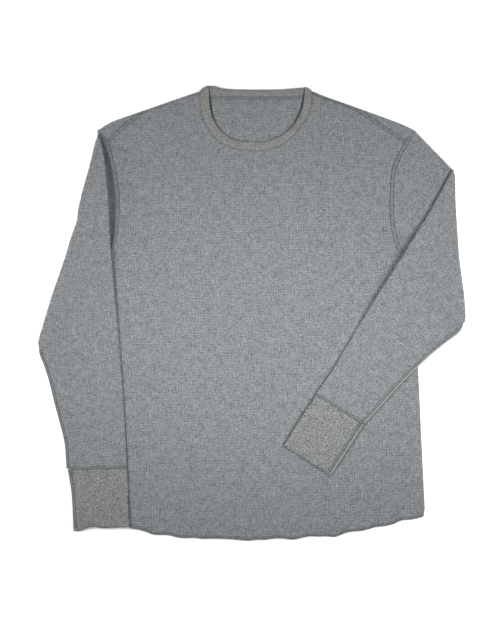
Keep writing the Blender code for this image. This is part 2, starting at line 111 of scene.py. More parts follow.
# ------------------------------------------------------------------ creases and lifts
# Soft ridges (+) and troughs (-) in the upper layer: from x, y to x, y, half width, height
CREASES = (
    (131, -278, 133, -366, 5.0, 0.9), (121, -285, 123, -366, 5.0, -0.7),          # below the left cuff
    (300, 270, 306, 196, 9.0, 0.8), (316, 262, 320, 200, 8.0, -0.5),              # left upper sleeve
    (222, 60, 120, 10, 16.0, 0.8), (228, 20, 110, -40, 20.0, -0.7),               # from the left armpit
    (-215, 60, -120, -10, 18.0, 0.9), (-210, 10, -130, -70, 22.0, -0.7),          # from the right armpit
    (-160, 300, -120, 190, 22.0, 0.8), (170, 290, 130, 180, 22.0, 0.8),           # down from the shoulders
    (-60, 240, -90, 90, 26.0, -0.6), (70, 240, 85, 100, 26.0, -0.6),
    (-120, -120, -60, -260, 24.0, 0.8), (30, -90, 60, -240, 26.0, 0.7), (-20, -20, -30, -180, 24.0, -0.6),
    (180, -210, 225, -320, 20.0, 0.9), (-190, -200, -170, -320, 20.0, 0.7), (90, 20, 20, 60, 24.0, 0.7),
    (-15, 180, 30, 90, 24.0, 0.7), (-170, 120, -100, 150, 20.0, -0.6), (165, 120, 100, 160, 20.0, -0.5),
)
# the same on the forearms' upper layer, right arm then left
FORE_CREASES = (
    (-310, -60, -262, -90, 16.0, -0.9), (-318, -20, -270, -40, 18.0, 1.0), (-300, 90, -262, 60, 16.0, 0.8),
    (-290, -150, -235, -170, 16.0, 0.9), (-270, 150, -250, 200, 14.0, 0.7), (-300, -200, -240, -225, 14.0, -0.6),
    (330, 20, 280, 60, 16.0, 0.9), (310, 100, 270, 60, 16.0, -0.8), (262, 20, 300, -40, 16.0, 0.8),
    (180, -60, 240, -90, 15.0, -0.8), (170, -110, 210, -140, 13.0, 0.7),
)
# How far the overarm edge of each folded forearm stands off what it lies on: y, height
LIFT_RIGHT = ((300, 2.0), (275, 5.0), (240, 8.2), (190, 8.8), (120, 7.8), (90, 4.6), (60, 2.6), (10, 2.2), (-30, 1.0),
              (-60, 0.4), (-220, 0.3), (-258, 0.6), (-300, 0.6), (-358, 0.6))
LIFT_LEFT = ((236, 0.6), (215, 2.8), (170, 3.0), (135, 4.6), (110, 7.5), (60, 7.5), (20, 5.2), (-20, 1.6), (-45, 0.6),
             (-110, 0.8), (-130, 2.4), (-218, 2.4))
LIFT_REACH = 30.0
# a folded forearm beds into the layer below, which stands up just outside its edge: how
# high, how soon and how far, and how tight the bed is inside and outside the edge
BED_HIGH, BED_RISE, BED_FADE, BED_IN, BED_OUT = {1: 2.1, -1: 1.6}, 2.6, 24.0, 8.0, 2.6


# ------------------------------------------------------------------ plane curves
def P(points):
    return np.array(points, float)


def smooth(points, per=16):
    """A fine smooth line through a few plane points (Catmull-Rom)."""
    p = P(points)
    e = np.vstack([2 * p[:1] - p[1:2], p, 2 * p[-1:] - p[-2:-1]])
    t = (np.arange(per) / per)[:, None]
    out = []
    for k in range(1, len(e) - 2):
        a, b, c, d = e[k - 1:k + 3]
        out.append(0.5 * (2 * b + (c - a) * t + (2 * a - 5 * b + 4 * c - d) * t * t + (3 * b - a - 3 * c + d) * t ** 3))
    return np.vstack(out + [p[-1:]])


def run_of(line):
    return np.concatenate([[0.0], np.cumsum(np.linalg.norm(np.diff(line, axis=0), axis=1))])


def even(line, n):
    """n + 1 points evenly spaced along a line."""
    line = P(line)
    run = run_of(line)
    want = np.linspace(0, run[-1], n + 1)
    return np.stack([np.interp(want, run, line[:, k]) for k in range(line.shape[1])], 1)


def ramp(t):
    t = np.clip(t, 0.0, 1.0)
    return t * t * (3 - 2 * t)


def along(line):
    """Unit direction at each point of a line."""
    d = np.gradient(line, axis=0)
    return d / np.maximum(np.linalg.norm(d, axis=1, keepdims=True), 1e-9)


def moved(line, toward, by):
    d = along(line)
    n = np.stack([-d[:, 1], d[:, 0]], 1)
    n[(n @ P(toward)) < 0] *= -1
    return line + n * by


def side_arm(side):
    """The armhole, from the shoulder tip to the armpit; 16 points to a row of SIDE."""
    col = 2 if side > 0 else 1
    return smooth([(r[col], r[0]) for r in SIDE[:ARMPIT_ROW + 1]])


def side_low(side):
    col = 2 if side > 0 else 1
    return smooth([(r[col], r[0]) for r in SIDE[ARMPIT_ROW:]])


def hem_out(x):
    w = P(HEM_WAVE)
    fine = smooth(w, 8)
    return np.interp(x, fine[:, 0], fine[:, 1])


def hem_line():
    """The hem from the wearer's right corner to the left one."""
    y0, xr, xl = SIDE[-1]
    x = np.linspace(xr + HEM_CORNER, xl - HEM_CORNER, 300)
    y = HEM_Y + HEM_RISE * np.abs(x / HEM_HALF) ** HEM_POWER - hem_out(x)
    return np.vstack([[(xr, y0), (xr + 0.3 * HEM_CORNER, y0 - 0.75 * HEM_CORNER)], np.stack([x, y], 1),
                      [(xl - 0.3 * HEM_CORNER, y0 - 0.75 * HEM_CORNER), (xl, y0)]])


def neck_front(t, outer, grow=0.0):
    side, half_in, half_out, tuck, top_in, top_out = NECK_SIDES[0] if t < 0 else NECK_SIDES[1]
    half_out -= tuck * float(ramp((abs(t) - NECK_TUCK_FROM) / (1 - NECK_TUCK_FROM)))
    half, top, foot = (half_out, top_out, FRONT_OUT_Y) if outer else (half_in, top_in, FRONT_IN_Y)
    half, foot = half + grow, foot - grow
    # the fullness changes along the curve, and is the same from both sides at the foot
    full = NECK_FULL[side, outer]
    k = min(int(abs(t) * 5), 4)
    f = full[k] + (full[k + 1] - full[k]) * float(ramp(abs(t) * 5 - k))
    a = (1 - abs(t)) * math.pi / 2
    return (NECK_X + side * half * max(math.cos(a), 0.0) ** (2 / f), top - (top - foot) * math.sin(a) ** (2 / f))


def neck_back(t, outer, grow=0.0):
    half_in, half_out, tuck, top_in, top_out = (NECK_SIDES[0] if t < 0 else NECK_SIDES[1])[1:6]
    if outer:
        return (NECK_X + (half_out - tuck + grow) * t,
                BACK_OUT_Y - grow + (top_out - BACK_OUT_Y) * (1 - max(1 - t ** 4, 0.0) ** 0.25))
    rise = max(0.0, (abs(t) - NECK_FLAT) / (1 - NECK_FLAT)) ** 1.6
    full = 1.7 * math.exp(-((t + 0.88) / 0.08) ** 2)          # stands fuller beside the right high point
    return (NECK_X + half_in * t, BACK_IN_Y + (top_in - BACK_IN_Y) * rise + full)


def shoulder(side):
    rows = P(SHOULDER_LEFT if side > 0 else SHOULDER_RIGHT)
    return smooth(rows[:, :2]), smooth(rows[:, 2:])


def to_line(pts, line):
    """Distance of plane points from a line, and how far along it the nearest point is (0 to 1)."""
    a, b = line[:-1], line[1:]
    d = b - a
    run = run_of(line)
    best, where = np.full(len(pts), 1e9), np.zeros(len(pts))
    for k in range(len(a)):
        t = np.clip(((pts - a[k]) @ d[k]) / max(d[k] @ d[k], 1e-9), 0, 1)
        r = np.hypot(pts[:, 0] - a[k, 0] - d[k, 0] * t, pts[:, 1] - a[k, 1] - d[k, 1] * t)
        near = r < best
        best[near] = r[near]
        where[near] = (run[k] + t[near] * (run[k + 1] - run[k])) / run[-1]
    return best, where


def inside(pts, poly):
    hit = np.zeros(len(pts), bool)
    x, y = pts[:, 0], pts[:, 1]
    for (x0, y0), (x1, y1) in zip(poly, np.roll(poly, -1, axis=0)):
        if y0 == y1:
            continue
        hit ^= ((y0 > y) != (y1 > y)) & (x < (x1 - x0) * (y - y0) / (y1 - y0) + x0)
    return hit


# ------------------------------------------------------------------ height fields
CELL = 2.0
GX, GY = np.arange(-372.0, 373.0, CELL), np.arange(-396.0, 397.0, CELL)
GRID = np.stack(np.meshgrid(GX, GY), -1).reshape(-1, 2)


def field(values):
    """A height field over the plane that can be read anywhere."""
    v = values.reshape(len(GY), len(GX))

    def read(p):
        p = P(p)
        fx = np.clip((p[..., 0] - GX[0]) / CELL, 0, len(GX) - 1.001)
        fy = np.clip((p[..., 1] - GY[0]) / CELL, 0, len(GY) - 1.001)
        i, j = fx.astype(int), fy.astype(int)
        u, w = fx - i, fy - j
        return ((v[j, i] * (1 - u) + v[j, i + 1] * u) * (1 - w) + (v[j + 1, i] * (1 - u) + v[j + 1, i + 1] * u) * w)
    return read


def crease_sum(pts, table):
    h = np.zeros(len(pts))
    for x0, y0, x1, y1, wide, high in table:
        a, d = P((x0, y0)), P((x1 - x0, y1 - y0))
        long = math.hypot(*d)
        t = (pts - a) @ d / long ** 2
        off = ((pts - a) @ P((-d[1], d[0]))) / long + 0.06 * long * np.sin(3.1 * t)
        h += high * np.exp(-0.5 * (off / wide) ** 2) * ramp((t + 0.25) / 0.4) * ramp((1.25 - t) / 0.4)
    return h


def sleeve_lines(side):
    """Fold line, overarm and underarm edges of the folded forearm and the cuff."""
    fold = even(smooth(FOLD_LEFT if side > 0 else FOLD_RIGHT), 60)
    fold = moved(fold, (-side, 0), FOLD_MID)
    fore = P(FOREARM_LEFT if side > 0 else FOREARM_RIGHT)
    cuff = P(CUFF_LEFT if side > 0 else CUFF_RIGHT)
    return fold, smooth(np.vstack([fold[:1], fore[:, :2]])), smooth(np.vstack([fold[-1:], fore[:, 2:]])), smooth(cuff[:, :2]), smooth(cuff[:, 2:])


LINES = {s: sleeve_lines(s) for s in (-1, 1)}


def stack_outline():
    """Outline of the body with both upper sleeves, the neck opening taken as closed."""
    out = [hem_line()[::3]]
    out.append(side_low(1)[::-1][::4])
    out.append(smooth(FOLD_LEFT)[::-1][::4])
    out.append(shoulder(1)[0][::4])
    out.append(shoulder(-1)[0][::-1][::4])
    out.append(smooth(FOLD_RIGHT)[::4])
    out.append(side_low(-1)[::4])
    return np.vstack(out)


OUTLINE = stack_outline()
_far, _ = to_line(GRID, np.vstack([OUTLINE, OUTLINE[:1]]))
DEEP = np.where(inside(GRID, OUTLINE), _far, -_far)          # how far inside the outline


def upper_relief():
    """How far the upper layer of the body and upper sleeves stands above its flat level."""
    x, y = GRID[:, 0], GRID[:, 1]
    h = 1.1 + crease_sum(GRID, CREASES)
    for cx, cy, wide, high in ((-70, 338, 26, 1.8), (90, 338, 26, 1.8), (0, 262, 60, 0.3),
                               (-70, 40, 70, 0.8), (80, -40, 80, 0.7), (-40, -230, 70, 0.7)):
        h += high * np.exp(-0.5 * ((x - cx) ** 2 + (y - cy) ** 2) / wide ** 2)
    # the body stands up along the right armhole, and beside it, in the gap, the sleeve sinks
    arm = side_arm(-1)
    off = x - np.interp(y, arm[::-1, 1], arm[::-1, 0])
    stretch = ramp((y - 84) / 34) * ramp((286 - y) / 30)
    for side in (-1, 1):
        _, over, under, cuff_over, cuff_under = LINES[side]
        edge = even(np.vstack([over, cuff_over[1:], cuff_under[::-1], under[::-1]]), 150)
        d, _ = to_line(GRID, edge)
        s = np.where(inside(GRID, edge), -d, d)
        bed = np.exp(-(s / np.where(s < 0, BED_IN, BED_OUT)) ** 2)
        here = 1 - stretch if side < 0 else 1.0
        h = h * (1 - 0.8 * bed * here)
        h += here * BED_HIGH[side] * np.where(s > 0, (1 - np.exp(-(s / BED_RISE) ** 2)) * np.exp(-(s / BED_FADE) ** 2), 0.0)
    h += stretch * 8.0 * np.where(off > 0, np.exp(-0.5 * (off / 14) ** 2), np.exp(-0.5 * (off / 3.0) ** 2))
    h -= stretch * 2.2 * np.exp(-0.5 * ((off + 12) / 8) ** 2)
    # the hem ripples: it stands up where it is drawn in
    base = HEM_Y + HEM_RISE * np.abs(x / HEM_HALF) ** HEM_POWER
    rise = np.clip(0.3 - 0.75 * hem_out(x), 0.0, 3.2)
    fade = ramp(DEEP / 18)
    hem = np.exp(-np.clip(y - base, 0, 200) / 16)
    near_hem = ramp(1 - (y - base) / 30) * ramp((x - SIDE[-1][1]) / 18) * ramp((SIDE[-1][2] - x) / 18)
    fade = fade * (1 - near_hem) + near_hem * np.maximum(fade, 1.0)
    h = np.maximum(h, 0.05) * fade
    return np.where(DEEP > -12, h * (1 - hem) + rise * hem * (near_hem > 0), 0.0)


UP = field(upper_relief())
COVER = field(ramp(1 - (-DEEP - DRAPE_START) / DRAPE_RUN))


def under_forearm(p):
    """Top of everything a folded forearm lies on."""
    return COVER(p) * (2 * PITCH - GAP / 2 + UP(p))


def forearm_fields(side):
    """Standing of the lower layer, and the room between the two layers."""
    fold, over, under, cuff_over, cuff_under = LINES[side]
    edge = even(np.vstack([over, cuff_over[1:]]), 60)
    other = even(np.vstack([under, cuff_under[1:]]), 60)
    d, _ = to_line(GRID, edge)
    e, _ = to_line(GRID, other)
    table = P(LIFT_LEFT if side > 0 else LIFT_RIGHT)[::-1]
    lift = np.interp(GRID[:, 1], table[:, 0], table[:, 1])
    low = lift * (1 - ramp(d / LIFT_REACH)) ** 1.3 + 0.25 * (1 - ramp(e / 20))
    room = 0.8 * ramp(d / 10) * ramp(e / 10) + 0.5 * (1 - ramp(d / 14)) + np.maximum(crease_sum(GRID, FORE_CREASES), -0.7)
    return field(low), field(np.maximum(room, 0.0))


FORE = {s: forearm_fields(s) for s in (-1, 1)}


CEILING = 12.6          # the lower layer of a folded forearm levels off toward this height


def forearm_levels(side, p):
    low, room = FORE[side]
    z2 = under_forearm(p) + WALL / 2 + GAP / 2 + low(p)
    over = np.maximum(z2 - (CEILING - 2.5), 0.0)
    z2 = z2 - over + 2.5 * np.tanh(over / 2.5)
    return z2, z2 + PITCH + room(p)


def top_of_front(p):
    return PITCH + WALL + UP(p)


def top_of_forearm(side):
    return lambda p: forearm_levels(side, p)[1] + WALL / 2


# ------------------------------------------------------------------ meshes
def make_object(name, V, F, mats, uv=None, slots=None, smooth_shade=True):
    me = bpy.data.meshes.new(name)
    me.from_pydata((V * MM).tolist(), [], [tuple(f) for f in F])
    for m in mats:
        me.materials.append(m)
    loops = np.zeros(len(me.loops), np.int32)
    me.loops.foreach_get("vertex_index", loops)
    if uv is not None:
        layer = me.uv_layers.new(name="grain")
        layer.data.foreach_set("uv", (uv[loops] * MM).astype(np.float32).ravel())
    if slots is not None:
        me.polygons.foreach_set("material_index", np.asarray(slots, np.int32))
    me.polygons.foreach_set("use_smooth", np.full(len(me.polygons), smooth_shade))
    me.update()
    obj = bpy.data.objects.new(name, me)
    bpy.context.scene.collection.objects.link(obj)
    return obj


def grid_faces(rows, cols, wrap=False):
    j, i = np.meshgrid(np.arange(rows - 1), np.arange(cols if wrap else cols - 1), indexing="ij")
    k = (i + 1) % cols
    return np.stack([j * cols + i, j * cols + k, (j + 1) * cols + k, (j + 1) * cols + i], -1).reshape(-1, 4)


def join(parts):
    """Several (V, F, UV) as one."""
    V, F, U, at = [], [], [], 0
    for v, f, u in parts:
        V.append(v)
        F.append(np.asarray(f) + at)
        U.append(u)
        at += len(v)
    return np.vstack(V), np.vstack(F), np.vstack(U)


def weld(V, F, U):
    key = np.round(V / 0.02).astype(np.int64)
    _, first, back = np.unique(key, axis=0, return_index=True, return_inverse=True)
    back = back.reshape(-1)
    F = back[F]
    good = (F[:, 0] != F[:, 1]) & (F[:, 1] != F[:, 2]) & (F[:, 2] != F[:, 3]) & (F[:, 3] != F[:, 0])
    return V[first], F[good], U[first]


def normals(V, F):
    a, b, c, d = (V[F[:, k]] for k in range(4))
    n = np.cross(c - a, d - b)
    out = np.zeros_like(V)
    for k in range(4):
        np.add.at(out, F[:, k], n)
    return out / np.maximum(np.linalg.norm(out, axis=1, keepdims=True), 1e-12)


def shell(V, F, U, wall=WALL, push=0.5, tight=None):
    """A closed wall on a middle sheet, its free edges rounded. tight picks the edge points
    that meet another piece, where the rounding stays within the wall."""
    N = normals(V, F)
    E = np.concatenate([F[:, [0, 1]], F[:, [1, 2]], F[:, [2, 3]], F[:, [3, 0]]])
    S = np.sort(E, axis=1)
    _, index, count = np.unique(S, axis=0, return_index=True, return_counts=True)
    edge = E[index[count == 1]]
    n = len(V)
    rim = np.unique(edge)
    out = np.zeros_like(V)
    d = V[edge[:, 1]] - V[edge[:, 0]]
    side = np.cross(d, N[edge[:, 0]])
    side /= np.maximum(np.linalg.norm(side, axis=1, keepdims=True), 1e-12)
    np.add.at(out, edge[:, 0], side)
    np.add.at(out, edge[:, 1], side)
    out = out[rim] / np.maximum(np.linalg.norm(out[rim], axis=1, keepdims=True), 1e-12)
    reach = np.full(len(rim), push)
    if tight is not None:
        reach[tight(V[rim])] = 0.08
    place = np.full(n, -1)
    place[rim] = np.arange(len(rim)) + 2 * n
    V2 = np.vstack([V + N * wall / 2, V - N * wall / 2, V[rim] + out * reach[:, None]])
    a, b = edge[:, 0], edge[:, 1]
    F2 = np.vstack([F, F[:, ::-1] + n, np.stack([b, a, place[a], place[b]], 1),
                    np.stack([place[b], place[a], a + n, b + n], 1)])
    return V2, F2, np.vstack([U, U, U[rim]])


def patch(low, high, left, right):
    n, m = len(low), len(left)
    u, w = np.linspace(0, 1, n)[None, :, None], np.linspace(0, 1, m)[:, None, None]
    return (low[None] * (1 - w) + high[None] * w + left[:, None] * (1 - u) + right[:, None] * u
            - (low[0] * (1 - u) + low[-1] * u) * (1 - w) - (high[0] * (1 - u) + high[-1] * u) * w)


def sheet_of(XY, Z, UV=None):
    rows, cols = XY.shape[:2]
    V = np.concatenate([XY, Z[..., None]], -1).reshape(-1, 3)
    return V, grid_faces(rows, cols), (XY if UV is None else UV).reshape(-1, 2)


# ------------------------------------------------------------------ body
YA, NECKA = 40, 120
ROWS_LOW, ROWS_ARM, ROWS_BACK = 190, 42, 190
GRAIN_TILT = 0.012


def grain_body(p):
    """Plane point to cloth: the wales lean a little and waver."""
    x, y = p[..., 0], p[..., 1]
    return np.stack([x + 1.6 * np.sin(y / 95 + 0.8) + 1.0 * np.sin(y / 41 + x / 160) + GRAIN_TILT * y,
                     y + 1.4 * np.sin(x / 105) + 0.9 * np.sin(x / 37 + y / 120)], -1)


def edge_pinch(p):
    """1 at the side edges of the body, where front and back come together."""
    d = P(p)
    low = d[..., 1] < SIDE[ARMPIT_ROW][0]
    rows = P(SIDE)[::-1]
    xr, xl = np.interp(d[..., 1], rows[:, 0], rows[:, 1]), np.interp(d[..., 1], rows[:, 0], rows[:, 2])
    off = np.minimum(d[..., 0] - xr, xl - d[..., 0])
    return np.exp(-np.clip(off, 0, 50) / 2.2) * low


def neck_stations(n_mid, n_out):
    mid = np.linspace(-NECK_FOOT, NECK_FOOT, n_mid + 1)
    out = np.linspace(NECK_FOOT, 1.0, n_out + 1)
    return mid, out


def build_front():
    def arm_rows(side, first, last):
        return side_arm(side)[first * 16:last * 16 + 1]

    left = even(np.vstack([arm_rows(-1, YOKE_ROW, ARMPIT_ROW), side_low(-1)[1:]]), ROWS_LOW)[::-1]
    right = even(np.vstack([arm_rows(1, YOKE_ROW, ARMPIT_ROW), side_low(1)[1:]]), ROWS_LOW)[::-1]
    mid, out = neck_stations(NECKA, ROWS_ARM)
    neck = P([neck_front(t, True, GAP) for t in mid])
    ties = {-1: even([left[-1], neck[0]], YA), 1: even([neck[-1], right[-1]], YA)}
    top = np.vstack([ties[-1], neck[1:-1], ties[1]])
    body = patch(even(hem_line(), len(top) - 1), top, left, right)
    sheets = [body]
    for side in (-1, 1):
        seam = moved(even(shoulder(side)[1], YA), (0, -1), GAP)
        arm = even(arm_rows(side, SEAM_ROW, YOKE_ROW), ROWS_ARM)[::-1]
        arm[-1] = seam[0] = arm[-1] + (arm[-2] - arm[-1]) * GAP / np.linalg.norm(arm[-2] - arm[-1])
        neckside = P([neck_front(side * t, True, GAP) for t in out])
        neckside[-1] = seam[-1]
        if side < 0:
            sheets.append(patch(ties[-1], seam, arm, neckside))
        else:
            sheets.append(patch(ties[1], seam[::-1], neckside, arm))
    parts = []
    for XY in sheets:
        z = PITCH + WALL / 2 + UP(XY) - 0.75 * edge_pinch(XY)
        parts.append(sheet_of(XY, z, grain_body(XY)))
    V, F, U = weld(*join(parts))
    return shell(V, F, U, tight=lambda p: p[:, 1] > 71)


NECK_OPEN = P([neck_front(t, False) for t in np.linspace(-1, 1, 120)])
NECK_FRAME = np.vstack([NECK_OPEN, [(NECK_OPEN[-1, 0], 382.0), (NECK_OPEN[0, 0], 382.0)]])


def neck_stand(p):
    """Seen through the neck, the back and its half of the band stand up a little just clear
    of the front half of the band."""
    p = P(p)
    q = p.reshape(-1, 2)
    far, _ = to_line(q, NECK_OPEN)
    high = ramp((q[:, 1] - 290) / 50)
    rise = (2.6 + 1.2 * high) * (1 - np.exp(-(np.maximum(far - 1.0, 0) / (3.0 - 0.9 * high)) ** 2)) * np.exp(-(far / 75) ** 2)
    return np.where(inside(q, NECK_FRAME), rise, 0.0).reshape(p.shape[:-1])


def build_back():
    tops, seams = {}, {}
    for side in (-1, 1):
        top, seam = shoulder(side)
        top, seam = even(top, YA), even(seam, YA)
        tops[side] = moved(top, (0, -1), ROLL)
        tip, foot = side_arm(side)[0], side_arm(side)[16]
        tops[side][0] = tip + (foot - tip) / np.linalg.norm(foot - tip) * ROLL
        seams[side] = seam
    neck = P([neck_back(-math.cos(math.pi * i / NECKA), True, GAP) for i in range(1, NECKA)])
    top = np.vstack([tops[-1], neck, tops[1][::-1]])
    left = even(np.vstack([side_arm(-1), side_low(-1)[1:]]), ROWS_BACK)[::-1]
    right = even(np.vstack([side_arm(1), side_low(1)[1:]]), ROWS_BACK)[::-1]
    left[-1], right[-1] = top[0], top[-1]
    hem = even(hem_line(), len(top) - 1)
    hem[:, 1] += 0.5 * (hem_out(hem[:, 0]) + 0.8) * (np.abs(hem[:, 0]) < 262)      # lies a touch higher
    XY = patch(hem, top, left, right)
    parts = [sheet_of(XY, WALL / 2 + 0.3 * edge_pinch(XY) + neck_stand(XY), grain_body(XY) + 400)]
    for side in (-1, 1):
        edge, seam = tops[side], seams[side]
        d = along(edge)
        out = np.stack([-d[:, 1], d[:, 0]], 1)
        out[out[:, 1] < 0] *= -1
        out[0] = (edge[0] - seam[0]) / np.linalg.norm(edge[0] - seam[0])
        rows, uv, gone = [], [], 0.0
        lift = UP(edge)
        for s in range(9):
            a = math.pi * s / 8
            q = edge + out * (MID + lift / 2)[:, None] * math.sin(a)
            rows.append(np.column_stack([q, TUBE_MID - MID * math.cos(a) + lift * (1 - math.cos(a)) / 2]))
            uv.append(grain_body(edge) + 400 + out * MID * a)
        for s in range(1, 9):
            q = edge + (seam - edge) * s / 8
            rows.append(np.column_stack([q, PITCH + WALL / 2 + UP(q)]))
            uv.append(grain_body(edge) + 400 + out * (MID * math.pi) + out * np.linalg.norm(seam - edge, axis=1)[:, None] * s / 8)
        G = P(rows)
        parts.append((G.reshape(-1, 3), grid_faces(G.shape[0], G.shape[1]), P(uv).reshape(-1, 2)))
        if side > 0:
            parts[-1] = (parts[-1][0], parts[-1][1][:, ::-1], parts[-1][2])
    # the flap's faces turn with the sheet they continue
    V, F, U = weld(*join(parts))
    return V, F, U


def oriented(V, F):
    """Faces turned so that neighbours agree, the first one upward."""
    import bmesh
    bm = bmesh.new()
    vs = [bm.verts.new(v) for v in V]
    for f in F:
        bm.faces.new([vs[k] for k in f])
    bmesh.ops.recalc_face_normals(bm, faces=bm.faces)
    bm.faces.ensure_lookup_table()
    G = np.array([[v.index for v in f.verts] for f in bm.faces]) if bm.verts.index_update() is None else None
    up = bm.faces[0].normal.z
    bm.free()
    return G if up > 0 else G[:, ::-1]


# ------------------------------------------------------------------ sleeves and cuffs
ACROSS, TURN_EDGE, TURN_FOLD = 56, 8, 14
UPPER_N, FORE_N = {1: 26, -1: 34}, {1: 84, -1: 118}
CUFF_N, CUFF_SWELL = 30, 0.4


def tube_ring(row, ends=True):
    """Plane points and heights round a flattened tube: upper layer, underarm edge, lower layer, overarm edge."""
    first, last = row[0] - row[1], row[-1] - row[-2]
    first, last = first / np.linalg.norm(first), last / np.linalg.norm(last)
    row = row.copy()
    k = np.arange(len(row))
    row -= first * (ROLL * np.clip(1 - k / 6, 0, 1))[:, None]
    row -= last * (ROLL * np.clip(1 - k[::-1] / 6, 0, 1))[:, None]
    a = np.pi * np.arange(1, TURN_EDGE) / TURN_EDGE
    pts = np.vstack([row, row[-1] + last * MID * np.sin(a)[:, None], row[::-1], row[0] + first * MID * np.sin(a)[:, None]])
    h = np.concatenate([np.full(len(row), MID), MID * np.cos(a), np.full(len(row), -MID), -MID * np.cos(a)])
    return pts, h


def table_rows(start, over, under, count):
    """Even straight rows from the fold; the first ones straighten along the way."""
    over, under = even(over, count), even(under, count)
    u = np.linspace(0, 1, len(start))[:, None]
    rows = []
    for k in range(1, count + 1):
        straight = over[k] * (1 - u) + under[k] * u
        bow = max(0.0, 1 - k / (0.5 * count))
        base = start[0] * (1 - u) + start[-1] * u
        rows.append(straight + (start - base) * bow * 0.8)
    return rows


def unit(v):
    return P(v) / np.linalg.norm(v)


def sleeve_grain(side):
    """Directions of the sleeve before and after the fold, and a point on the fold."""
    fold, over, under, cuff_over, cuff_under = LINES[side]
    t = unit(fold[-1] - fold[0])
    fore = unit(cuff_over[0] + cuff_under[0] - (fold[20] + fold[40]))
    upper = 2 * (fore @ t) * t - fore
    return upper, fore, (fold[0] + fold[-1]) / 2


def build_sleeve(side):
    fold, over, under, _, _ = LINES[side]
    fold = even(fold, ACROSS)
    arm = moved(even(side_arm(side), ACROSS), (side, 0), GAP)
    d = along(fold)
    turn = np.stack([-d[:, 1], d[:, 0]], 1)
    turn[turn[:, 0] * side < 0] *= -1
    steps = [(arm + (fold - arm) * k / UPPER_N[side], 0.0) for k in range(UPPER_N[side] + 1)]
    steps += [(fold, math.pi * k / TURN_FOLD) for k in range(1, TURN_FOLD + 1)]
    steps += [(row, math.pi) for row in table_rows(fold, over, under, FORE_N[side])]
    n = ACROSS + 1
    ring_turn = np.vstack([turn, np.repeat(turn[-1:], TURN_EDGE - 1, 0), turn[::-1], np.repeat(turn[:1], TURN_EDGE - 1, 0)])
    # the fold's roll draws in at its two ends
    k = np.arange(n)
    row_ends = np.minimum(0.15 + 0.85 * ramp(k / 2.6), 0.7 + 0.3 * ramp(k[::-1] / 2.0))
    ends = np.concatenate([row_ends, np.full(TURN_EDGE - 1, row_ends[-1]), row_ends[::-1], np.full(TURN_EDGE - 1, row_ends[0])])
    g_up, g_fore, g_at = sleeve_grain(side)
    V, U = [], []
    for row, angle in steps:
        p, h = tube_ring(row)
        front = (h + MID) / (2 * MID)
        flat = TUBE_MID + h
        reach = FOLD_MID - flat
        w = (1 - math.cos(angle)) / 2
        z = FOLD_MID - reach * math.cos(angle) + (1 - w) * UP(p) * front
        if w > 0:
            z2, z3 = forearm_levels(side, p)
            z = z + w * (z2 * front + z3 * (1 - front) - (2 * FOLD_MID - flat))
        q = p + ring_turn * (reach * math.sin(angle) * ends)[:, None]
        V.append(np.column_stack([q, z]))
        axis = g_up if angle < 1.5 else g_fore
        cross = P((-axis[1], axis[0]))
        if angle >= 1.5:                      # the cloth is turned over past the fold
            cross = -cross
        r = p - g_at
        U.append(np.stack([r @ cross, r @ axis + (reach * angle if angle <= math.pi else 0)], 1)
                 + np.where(front < 0.5, 900.0, 0.0)[:, None] + (1500 if side > 0 else 3000))
    cols = len(V[0])
    V, U = np.vstack(V), np.vstack(U)
    F = grid_faces(len(steps), cols, wrap=True)
    return V, F, U


def build_cuff(side):
    _, _, _, over, under = LINES[side]
    over, under = even(over, CUFF_N), even(under, CUFF_N)
    u = np.linspace(0, 1, 37)[:, None]
    V, U = [], []
    wave = smooth(CUFF_END[side], 8)
    end_wave = np.interp(u[:, 0], wave[:, 0], wave[:, 1])
    axis = unit(over[-1] - over[0])
    for k in range(CUFF_N + 1):
        row = over[k] * (1 - u) + under[k] * u
        row = row + axis * (end_wave * ramp((k / CUFF_N - 0.8) / 0.2))[:, None]
        p, h = tube_ring(row)
        front = (h + MID) / (2 * MID)
        z2, z3 = forearm_levels(side, p)
        swell = CUFF_SWELL * ramp(k / 4) * (1 - front)
        V.append(np.column_stack([p, z2 * front + (z3 + swell) * (1 - front)]))
        width = np.linalg.norm(under[k] - over[k])
        c = np.concatenate([u[:, 0] * width, np.full(TURN_EDGE - 1, width), u[::-1, 0] * width, np.zeros(TURN_EDGE - 1)])
        U.append(np.column_stack([c, np.full(len(c), k / CUFF_N * 101.0)]) + np.where(front < 0.5, 500.0, 0.0)[:, None] + 200 * side + 800)
    cols = len(V[0])
    V, U = np.vstack(V), np.vstack(U)
    return V, grid_faces(CUFF_N + 1, cols, wrap=True), U


# ------------------------------------------------------------------ neckband
BAND_FRONT, BAND_TURN, BAND_REAR = 190, 8, 110


